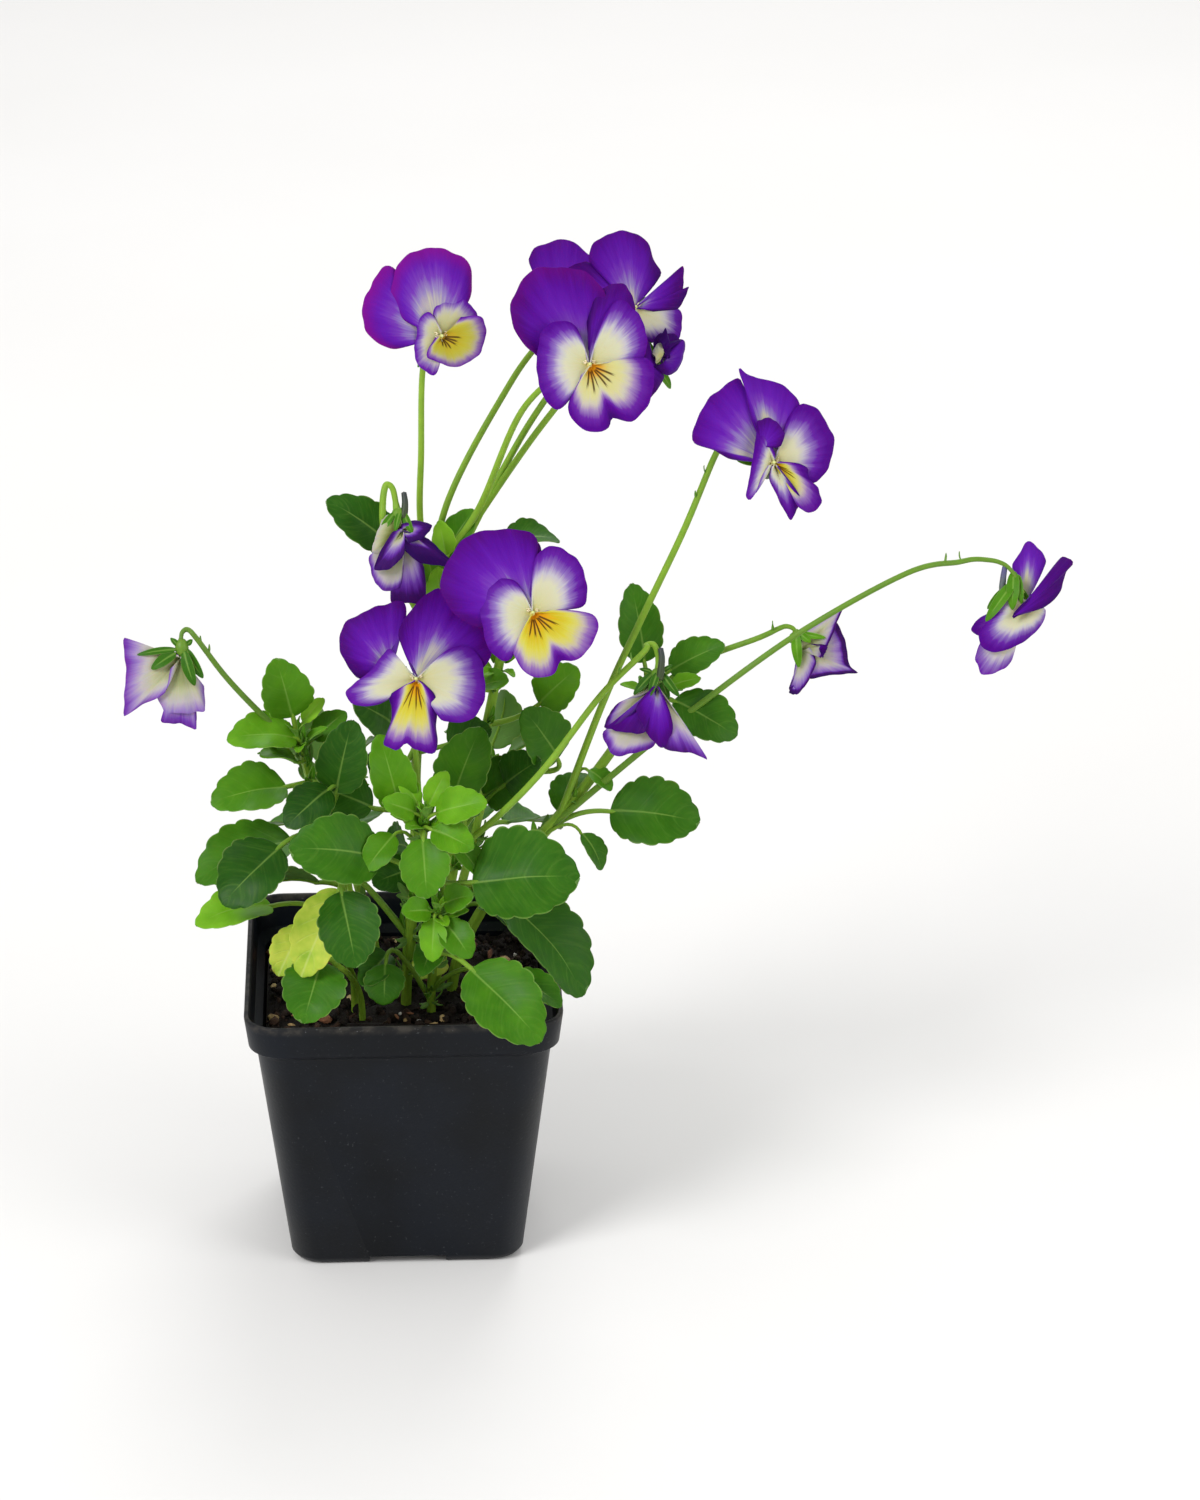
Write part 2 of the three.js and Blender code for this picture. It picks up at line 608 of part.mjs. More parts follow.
// Between two nicks of the margin lies one tooth on each side of the midrib.
function bladeSolid(leaf) {
  const frame = bladeFrame(leaf);
  const teeth = teethOf(frame);
  const points = [];
  const put = (q, w) => points.push(bladePoint(frame, q, w, teeth)) - 1;
  const base = put(0, 0);
  const faces = [];
  const margins = { left: [], right: [] };
  let nick = { middle: base, left: base, right: base };
  for (let i = 1; i <= teeth; i++) {
    const last = i === teeth;
    const left = put((i - 0.5) / teeth, 1);
    const right = put((i - 0.5) / teeth, -1);
    const middle = put(i / teeth, 0);
    const next = { middle, left: middle, right: middle };
    if (!last) {
      next.left = put(i / teeth, 1);
      next.right = put(i / teeth, -1);
    }
    faces.push([nick.middle, middle, left], [nick.middle, right, middle]);
    if (i > 1) faces.push([nick.middle, left, nick.left], [nick.middle, nick.right, right]);
    if (!last) faces.push([middle, next.left, left], [middle, right, next.right]);
    margins.left.push(left, next.left);
    margins.right.push(right, next.right);
    nick = next;
  }
  const tip = margins.left.pop();
  margins.right.pop();
  const rim = [base, ...margins.right, tip, ...margins.left.reverse()];
  return slabSolid(points, faces, rim, frame.normal.clone().multiplyScalar(-BLADE.thick));
}

// The stalk of a leaf, from the stem's axis to a little way along under the blade.
function petioleSolid(leaf, root) {
  const frame = bladeFrame(leaf);
  const end = bladePoint(frame, PETIOLE.under, 0, 1).addScaledVector(frame.normal, -BLADE.thick / 2);
  const reach = root.distanceTo(frame.start);
  const bend = frame.start.clone().addScaledVector(frame.along, -PETIOLE.dip * reach);
  const radius = THREE.MathUtils.clamp(PETIOLE.share * frame.width, PETIOLE.thinnest, PETIOLE.thickest);
  const curve = new THREE.QuadraticBezierCurve3(root, bend, end);
  return tubeSolid(curve, radius, PETIOLE.sides, PETIOLE.steps);
}

// ---------------------------------------------------------------- flowers

// Axes for a direction: right and up as something facing that way is seen, and out towards the viewer.
function faceFrame(origin, faces, size = 1) {
  const out = vec(faces).normalize();
  const up = new THREE.Vector3(0, 0, 1).addScaledVector(out, -out.z).normalize();
  return { origin: vec(origin), right: up.clone().cross(out), up, out, size };
}

function turned(frame, [right, up, out]) {
  const sum = frame.right.clone().multiplyScalar(right);
  return sum.addScaledVector(frame.up, up).addScaledVector(frame.out, out);
}

function placed(frame, point) {
  return turned(frame, point).add(frame.origin);
}

function petalFrame(frame, [tip, width, more]) {
  const { layer = 0, cup = 0, bend = 0, notch = 0, face = [0, 0, 1] } = more;
  const along = turned(frame, tip);
  const length = along.length();
  along.normalize();
  const side = turned(frame, face).cross(along).normalize();
  const normal = along.clone().cross(side);
  return { frame, along, side, normal, length, width, layer, cup, bend, notch };
}

// A point of a petal: rho from the throat (0) to the edge (1), phi the angle within the fan.
function petalPoint(petal, rho, phi) {
  const { frame, length, width, notch } = petal;
  const edge = length * Math.cos(phi) ** FAN.power * (1 - notch * Math.exp(-((phi / FAN.nick) ** 2)));
  const x = rho * edge * Math.cos(phi);
  const y = (rho * edge * Math.sin(phi) * width) / (FAN.widest * length);
  const lift = (petal.bend * x * x) / length + (petal.cup * y * y) / (0.5 * width);
  return frame.origin
    .clone()
    .addScaledVector(petal.along, x)
    .addScaledVector(petal.side, y)
    .addScaledVector(petal.normal, lift)
    .addScaledVector(frame.out, petal.layer);
}

// Flat triangles from the throat to the points of the edge, which carry the petal's cup, bend and nick.
function petalSolid(petal) {
  const slices = petal.notch > 0 ? FAN.slicesNicked : FAN.slices;
  const points = [petalPoint(petal, 0, 0)];
  const faces = [];
  for (let i = 0; i <= slices; i++) {
    const phi = radians(THREE.MathUtils.mapLinear(i, 0, slices, -FAN.half, FAN.half));
    points.push(petalPoint(petal, 1, phi));
    if (i > 0) faces.push([0, i, i + 1]);
  }
  const rim = points.map((_, i) => i);
  return slabSolid(points, faces, rim, petal.normal.clone().multiplyScalar(-PETAL_THICK));
}

function headSolid(flower) {
  const frame = faceFrame(flower.throat, flower.faces);
  const behind = faceFrame(flower.throat, flower.hangs ?? flower.faces);
  const petals = flower.petals.map((petal) => petalSolid(petalFrame(frame, petal)));
  const [back, front] = (flower.hangs ? THROAT.short : THROAT.long).map((out) => placed(frame, [0, 0, out]));
  petals.push(tubeSolid(new THREE.LineCurve3(back, front), THROAT.radius, THROAT.sides, 1));
  const spur = new THREE.CatmullRomCurve3(SPUR.map((point) => placed(behind, point)));
  petals.push(tubeSolid(spur, SPUR_RADIUS, STALK.sides, 2));
  return fuse(petals);
}

// The green cup behind a flower, with its sepals spread behind the petals, or along a hanging flower.
function calyxSolids(flower) {
  const frame = faceFrame(flower.throat, flower.hangs ?? flower.faces);
  const centre = placed(frame, [0, 0, -CALYX.behind]);
  const cup = new THREE.IcosahedronGeometry(CALYX.radius, 0).translate(...centre.toArray());
  const solids = [solidOf(cup)];
  const { turns, lean } = flower.hangs ? SEPALS_HANGING : SEPALS;
  for (const degrees of turns) {
    const turn = radians(degrees);
    const radial = turned(frame, [Math.sin(turn), Math.cos(turn), 0]);
    const along = radial.clone().addScaledVector(frame.out, lean).normalize();
    const side = frame.out.clone().cross(radial).multiplyScalar(SEPAL.width / 2);
    const root = centre.clone().addScaledVector(radial, SEPAL.root);
    const middle = root.clone().addScaledVector(along, SEPAL.widestAt * SEPAL.length);
    const tip = root.clone().addScaledVector(along, SEPAL.length);
    const points = [root, middle.clone().sub(side), tip, middle.clone().add(side)];
    const down = side.clone().cross(along).normalize().multiplyScalar(SEPAL.thick);
    solids.push(slabSolid(points, [[0, 1, 2], [0, 2, 3]], [0, 1, 2, 3], down));
  }
  return solids;
}

// The flower stalk, which hooks over just behind the flower and enters the calyx from above.
function stalkSolid(flower, stem) {
  const frame = faceFrame(flower.throat, flower.hangs ?? flower.faces);
  const seat = placed(frame, [0, 0, -CALYX.behind]);
  const hook = turned(frame, flower.hangs ? HOOK.hanging : HOOK.open).add(seat);
  const points = [stem.getPoint(flower.from), ...flower.stalk.map(vec), hook, seat];
  const line = new THREE.CatmullRomCurve3(points, false, "catmullrom", 0.5);
  return tubeSolid(line, STALK.radius, STALK.sides, Math.ceil(line.getLength() / STALK.step));
}

// ---------------------------------------------------------------- the plant's shoots

function shootSolid(name) {
  const shoot = SHOOTS[name];
  const stem = stemCurve(shoot);
  const solids = [stemSolid(shoot, shoot.radius)];
  for (const leaf of shoot.leaves) {
    solids.push(petioleSolid(leaf, stem.getPoint(leaf[0])), bladeSolid(leaf));
  }
  for (const flower of Object.values(FLOWERS)) {
    if (flower.shoot === name) solids.push(stalkSolid(flower, stem), ...calyxSolids(flower));
  }
  return fuse(solids);
}

// ---------------------------------------------------------------- materials and the finished group

const BLACK_PLASTIC = { color: 0x1c1f22, roughness: 0.45 };
const DARK_SOIL = { color: 0x2a1d14, roughness: 0.95 };
const LEAF_GREEN = { color: 0x4f8a2c, roughness: 0.55 };
const YELLOW_LEAF = { color: 0xb6cc4a, roughness: 0.6 };
const VIOLET = { color: 0x5a1fa0, roughness: 0.6 };
const FADED_VIOLET = { color: 0x9a72c4, roughness: 0.7 };

const plant = new THREE.Group();

function addNode(name, solid, surface) {
  const mesh = new THREE.Mesh(geometryOf(solid), new THREE.MeshStandardMaterial(surface));
  mesh.name = name;
  plant.add(mesh);
}

addNode("pot", potSolid(), BLACK_PLASTIC);
addNode("soil", soilSolid(), DARK_SOIL);
for (const name of Object.keys(SHOOTS)) {
  addNode(`shoot_${name}`, shootSolid(name), name === "old" ? YELLOW_LEAF : LEAF_GREEN);
}
for (const [name, flower] of Object.entries(FLOWERS)) {
  addNode(`flower_${name}`, headSolid(flower), flower.hangs ? FADED_VIOLET : VIOLET);
}

export default plant;
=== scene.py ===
"""A small viola in a square 9 cm nursery pot: pot, soil, leafy shoots and thirteen flowers.

Lengths are millimetres until a mesh is made. +X is right, +Y back, +Z up; the origin is under the pot.
"""

import math

import bpy
import numpy as np
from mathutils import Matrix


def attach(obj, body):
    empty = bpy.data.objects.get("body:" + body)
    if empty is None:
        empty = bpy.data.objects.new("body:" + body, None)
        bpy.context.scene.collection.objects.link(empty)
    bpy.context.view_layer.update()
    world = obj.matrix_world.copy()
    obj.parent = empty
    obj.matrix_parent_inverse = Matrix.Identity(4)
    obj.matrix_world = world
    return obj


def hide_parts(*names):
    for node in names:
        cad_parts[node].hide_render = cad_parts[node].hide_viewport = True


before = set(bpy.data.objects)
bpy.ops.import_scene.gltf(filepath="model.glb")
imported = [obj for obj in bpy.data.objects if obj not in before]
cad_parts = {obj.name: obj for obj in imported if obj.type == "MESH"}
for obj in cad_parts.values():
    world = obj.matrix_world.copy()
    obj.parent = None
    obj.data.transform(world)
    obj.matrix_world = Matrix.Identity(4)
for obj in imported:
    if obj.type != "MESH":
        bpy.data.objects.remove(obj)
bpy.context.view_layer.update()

MM = 0.001
SEED = 20
# About a full turn, for angles drawn at random.
ANY_ANGLE = 6.28

# The pot, the arches in its foot, its drain holes and its soil.
POT = {
    "height": 82, "rim_half": 45, "band_foot_half": 43.9, "band_height": 9.5, "band_step": 2,
    "body_top_half": 41.7, "foot_half": 33.2, "foot_round": 2.4, "corner": 10, "foot_corner": 8, "wall": 1.4,
}
NOTCH = {"width": 22, "depth": 14, "height": 2.6}
DRAIN = {"radius": 3.4, "at": 22}
SOIL = {"top": 71, "relief": 1.3, "settled": 0.0006, "bottom": 4.5, "clear": 0.3}
# How many crumbs, grains of perlite and splinters are laid, how large, and how far out they may lie.
# Splinters that would touch the wall are left out.
CRUMBS = {"count": 1500, "least": 0.45, "more": 1.5, "reach": 41}
PERLITE = {"count": 12, "least": 0.4, "most": 0.9, "reach": 38}
SPLINTERS = {"count": 46, "least": 1.0, "most": 2.4, "reach": 39}

# Bark (0) and stones (1) that lie on the soil: place, size and kind.
STONES = [
    (-36.5, 29, 3.6, 0), (-37, -12, 2.4, 1), (-32, -17.5, 1.2, 1), (-22.8, -17.4, 2.6, 0),
    (11.2, -18, 1.7, 1), (7.2, 5.9, 1.5, 0), (-8, -18, 0.9, 1), (0.5, -20, 0.9, 1), (-15.4, -4, 1.5, 1),
    (-38, 18, 1.0, 1), (-37.5, 5, 1.1, 1), (-27, 20, 1.6, 0), (31, -31, 2.8, 0), (30, 24, 2.4, 1),
    (-30, 34, 2.0, 0), (20, 30, 2.6, 0),
]

# Side veins in a leaf's look; the whiskers' places across a lowest petal, and where they start and end.
SIDE_VEINS = 5.0
WHISKERS = (0.14, 0.3, 0.5)
WHISKER_REACH = (0.12, 0.42)

# Directions in which leaves and flowers face.
CAM = (0, -0.75, 0.65)
UP = (0, -0.2, 1)
LEFT = (-0.5, -0.55, 0.7)
RIGHT = (0.5, -0.55, 0.7)
REAR = (0, 0.55, 0.8)
REAR_LEFT = (-0.5, 0.45, 0.75)
REAR_RIGHT = (0.5, 0.45, 0.75)
VIEWER = (0.05, -0.92, 0.39)

# Each shoot: its stem's radius and line, and its leaves as place on the stem, base, tip, width, facing
# and tone (0 dark, 1 bright). Tone is partly the leaf's age (mature dark, young bright) and partly painted
# light: low tones paint shade on leaves among the foliage, high tones paint a glow of light through young
# leaves.
SHOOTS = {
    "left": {
        "radius": 1.5,
        "stem": [(-9, 1, 57), (-10, 1, 78), (-15, 0, 100), (-22, -1, 125), (-26, -2, 142), (-28, -2, 152)],
        "leaves": [
            (0.97, (-30, -2, 159), (-34, -5, 178), 15, CAM, 0.55),
            (0.95, (-29, -4, 153), (-48, -11, 156), 14, (-0.2, -0.5, 0.8), 0.65),
            (0.85, (-29, -4, 146), (-39, -9, 150), 9, UP, 0.7),
            (0.75, (-32, -6, 139), (-53, -14, 138), 16, (-0.1, -0.6, 0.7), 0.5),
            (0.55, (-31, -3, 121), (-58, -14, 114), 20, LEFT, 0.42),
            (0.35, (-34, -19, 126), (-50, -30, 114), 19, (-0.1, -0.75, 0.6), 0.08),
            (0.2, (-37, -14, 106), (-58, -24, 105), 14, LEFT, 0.8),
            (0.98, (-27, 1, 156), (-21, 3, 162), 5, CAM, 0.9),
            (0.93, (-24, 2, 150), (-15, 5, 157), 8, CAM, 0.5),
            (0.8, (-18, -8, 138), (-13, -8, 160), 15, CAM, 0.12),
            (0.6, (-20, -10, 140), (-32, -18, 132), 13, CAM, 0.03),
            (0.88, (-33, 4, 146), (-44, 6, 152), 9, UP, 0.6),
        ],
    },
    "front": {
        "radius": 1.5, "stem": [(0, -8, 57), (1, -10, 78), (2, -16, 100), (5, -22, 122), (7, -26, 138)],
        "leaves": [
            (0.97, (10, -28, 140), (24, -32, 145), 11, CAM, 0.7),
            (0.96, (4, -27, 140), (-5, -31, 145), 8, CAM, 0.62),
            (0.94, (9, -30, 136), (20, -35, 132), 10, CAM, 0.62),
            (0.9, (6, -32, 134), (7, -40, 119.5), 14.5, CAM, 0.5),
            (0.6, (-6, -30, 128), (-31, -37, 134), 21, CAM, 0.3),
            (0.45, (-17, -34, 119), (-13, -45, 101), 18, CAM, 0.15),
            (0.98, (5, -24, 141), (0, -20, 149), 6, CAM, 0.78),
            (0.99, (8, -25, 141), (13, -22, 150), 7, CAM, 0.8),
            (0.9, (0, -22, 138), (-5.5, -21, 161), 13, CAM, 0.6),
            (0.3, (-4, -18, 92), (-12, -30, 88), 10, CAM, 0.2),
            (0.35, (9, -20, 96), (5, -33, 92), 9, CAM, 0.3),
            (0.75, (14, -24, 130), (22, -30, 121), 9, RIGHT, 0.5),
            (0.8, (-2, -27, 133), (-10, -35, 126), 9, CAM, 0.55),
        ],
    },
    "low": {
        "radius": 1.3, "stem": [(8, -12, 57), (8, -14, 78), (9, -20, 92), (10, -26, 104), (10, -28, 110)],
        "leaves": [
            (0.97, (12, -30, 113), (20, -35, 118), 9, CAM, 0.55),
            (0.93, (12, -31, 108), (19, -38, 100), 10, CAM, 0.5),
            (0.97, (8, -30, 111), (0, -33, 112), 8, CAM, 0.6),
            (0.4, (19, -42, 98), (38, -59, 84), 21, CAM, 0.42),
            (0.25, (29, -32, 91), (44, -44, 87), 12, RIGHT, 0.3),
            (0.2, (-5, -25, 92), (-5.5, -31.5, 82.5), 12, CAM, 0.3),
            (0.95, (9, -31, 109), (8, -38, 99), 8, CAM, 0.7),
        ],
    },
    "mid": {
        "radius": 1.6,
        "stem": [(9, 5, 57), (10, 5, 78), (15, 5, 108), (20, 5, 130), (25, 6, 152), (29, 7, 172)],
        "leaves": [
            (0.8, (40, 9, 157), (51, 8, 168), 14, CAM, 0.62),
            (0.7, (45, 2, 143), (35, -3, 160), 16, CAM, 0.35),
            (0.6, (15, -5, 134), (23, -3, 155), 16, CAM, 0.42),
            (0.55, (24, 5, 130), (38, -1, 141), 16, CAM, 0.35),
            (0.4, (20, -33, 120.5), (49.5, -38, 124.5), 27.5, CAM, 0.25),
            (0.3, (30, -17, 107), (51, -27, 82), 23, RIGHT, 0.2),
            (0.9, (23, 2, 165), (31, -3, 169), 9, RIGHT, 0.6),
            (0.99, (35, 12, 184), (46, 16, 194), 9, CAM, 0.5),
            (0.3, (4, -4, 112), (-8, -14, 112), 14, CAM, 0.1),
            (0.22, (24, 0, 98), (34, -12, 96), 13, RIGHT, 0.12),
            (0.5, (30, 0, 136), (40, -6, 146), 13, CAM, 0.15),
        ],
    },
    "right": {
        "radius": 1.6,
        "stem": [(14, 0, 57), (15, 0, 78), (24, 1, 98), (38, 2, 116), (50, 3, 130), (61, 4, 145),
                  (72, 4, 163)],
        "leaves": [
            (0.97, (70, 7, 170), (66, 9, 193), 13, CAM, 0.35),
            (0.97, (77, 5, 168), (92, 2, 177), 11, CAM, 0.4),
            (0.93, (78, 0, 161), (95, -6, 152), 15, CAM, 0.3),
            (0.66, (54, 2, 139), (60, -1, 134), 7, RIGHT, 0.5),
            (0.5, (60, 1, 127), (85, -4, 125), 21, CAM, 0.3),
            (0.48, (52, -2, 121), (57, -5, 111), 8, RIGHT, 0.3),
            (0.98, (77, -1, 166), (85, -3, 169), 5, CAM, 0.7),
        ],
    },
    "back": {
        "radius": 1.6,
        "stem": [(1, 9, 57), (2, 9, 78), (4, 9, 110), (5, 10, 142), (9, 11, 175), (10, 13, 197)],
        "leaves": [
            (0.97, (-1, 9, 206), (-19, 5, 221), 14, CAM, 0.15),
            (0.98, (14, 14, 201), (22, 17, 213), 9, CAM, 0.45),
            (0.94, (11, 7, 192), (8, 4, 208), 9, CAM, 0.7),
            (0.96, (14, 8, 203), (12, 6, 214), 7, CAM, 0.85),
            (0.85, (12, 4, 190), (11.5, 1, 202), 8, CAM, 0.85),
            (0.95, (30.3, 18, 203), (46.2, 22, 201.5), 13, UP, 0.25),
            (0.95, (7, 18, 196), (-4, 30, 203), 13, REAR, 0.4),
            (0.7, (-2, 8, 152), (-13, -3, 163), 18, CAM, 0.15),
            (0.75, (12, 19, 162), (18, 32, 168), 16, REAR, 0.3),
            (0.5, (-8, 6, 127), (-27, 7, 134), 15, CAM, 0.2),
            (0.62, (-4, 2, 136), (-9, -10, 150), 12, CAM, 0.2),
            (0.3, (2, 0, 116), (-4, -14, 124), 14, CAM, 0.08),
            (0.4, (10, 2, 124), (22, -8, 130), 13, RIGHT, 0.1),
            (0.6, (14, 6, 146), (26, 0, 153), 13, CAM, 0.15),
        ],
    },
    "rear_left": {
        "radius": 1.4, "stem": [(-7, 14, 57), (-8, 15, 78), (-13, 22, 96), (-17, 28, 112), (-19, 32, 124)],
        "leaves": [
            (0.98, (-20, 34, 129), (-24, 38, 146), 14, REAR_LEFT, 0.5),
            (0.95, (-24, 33, 126), (-41, 36, 131), 15, REAR_LEFT, 0.4),
            (0.95, (-15, 36, 125), (-6, 47, 131), 13, REAR, 0.35),
            (0.7, (-26, 34, 108), (-42, 44, 103), 18, REAR_LEFT, 0.3),
            (0.4, (-24, 18, 98), (-44, 16, 97), 16, REAR_LEFT, 0.25),
            (0.6, (-14, 38, 106), (-14, 56, 100), 19, REAR, 0.3),
        ],
    },
    "rear_right": {
        "radius": 1.4, "stem": [(11, 15, 57), (12, 16, 78), (18, 23, 96), (23, 29, 114), (26, 33, 127)],
        "leaves": [
            (0.98, (27, 35, 132), (31, 38, 149), 14, REAR_RIGHT, 0.5),
            (0.95, (31, 34, 129), (46, 38, 135), 15, REAR_RIGHT, 0.4),
            (0.65, (31, 34, 109), (46, 44, 102), 18, REAR_RIGHT, 0.3),
            (0.6, (20, 39, 107), (20, 57, 101), 19, REAR, 0.25),
            (0.4, (28, 19, 98), (46, 17, 95), 17, REAR_RIGHT, 0.3),
            (0.42, (45, 8, 124), (54, 17, 131), 12, REAR_RIGHT, 0.4),
            (0.92, (22, 37, 126), (14, 49, 131), 13, REAR, 0.4),
        ],
    },
    "old": {
        "radius": 1.1, "stem": [(-14, -8, 57), (-14, -10, 78), (-15, -16, 86), (-16, -20, 92)],
        "leaves": [
            (0.97, (-17.5, -27, 116.5), (-28.5, -37, 94.5), 15, CAM, 0.9),
            (0.8, (-28, -24, 104), (-35, -31, 92), 11.5, CAM, 0.95),
        ],
    },
    "foot_leaf": {
        "radius": 1, "stem": [(-12, -16, 57), (-12, -18, 77), (-15, -22, 87), (-19, -26, 93)],
        "leaves": [(0.97, (-23, -31, 96), (-28, -44, 83.5), 18.5, CAM, 0.35)],
    },
}

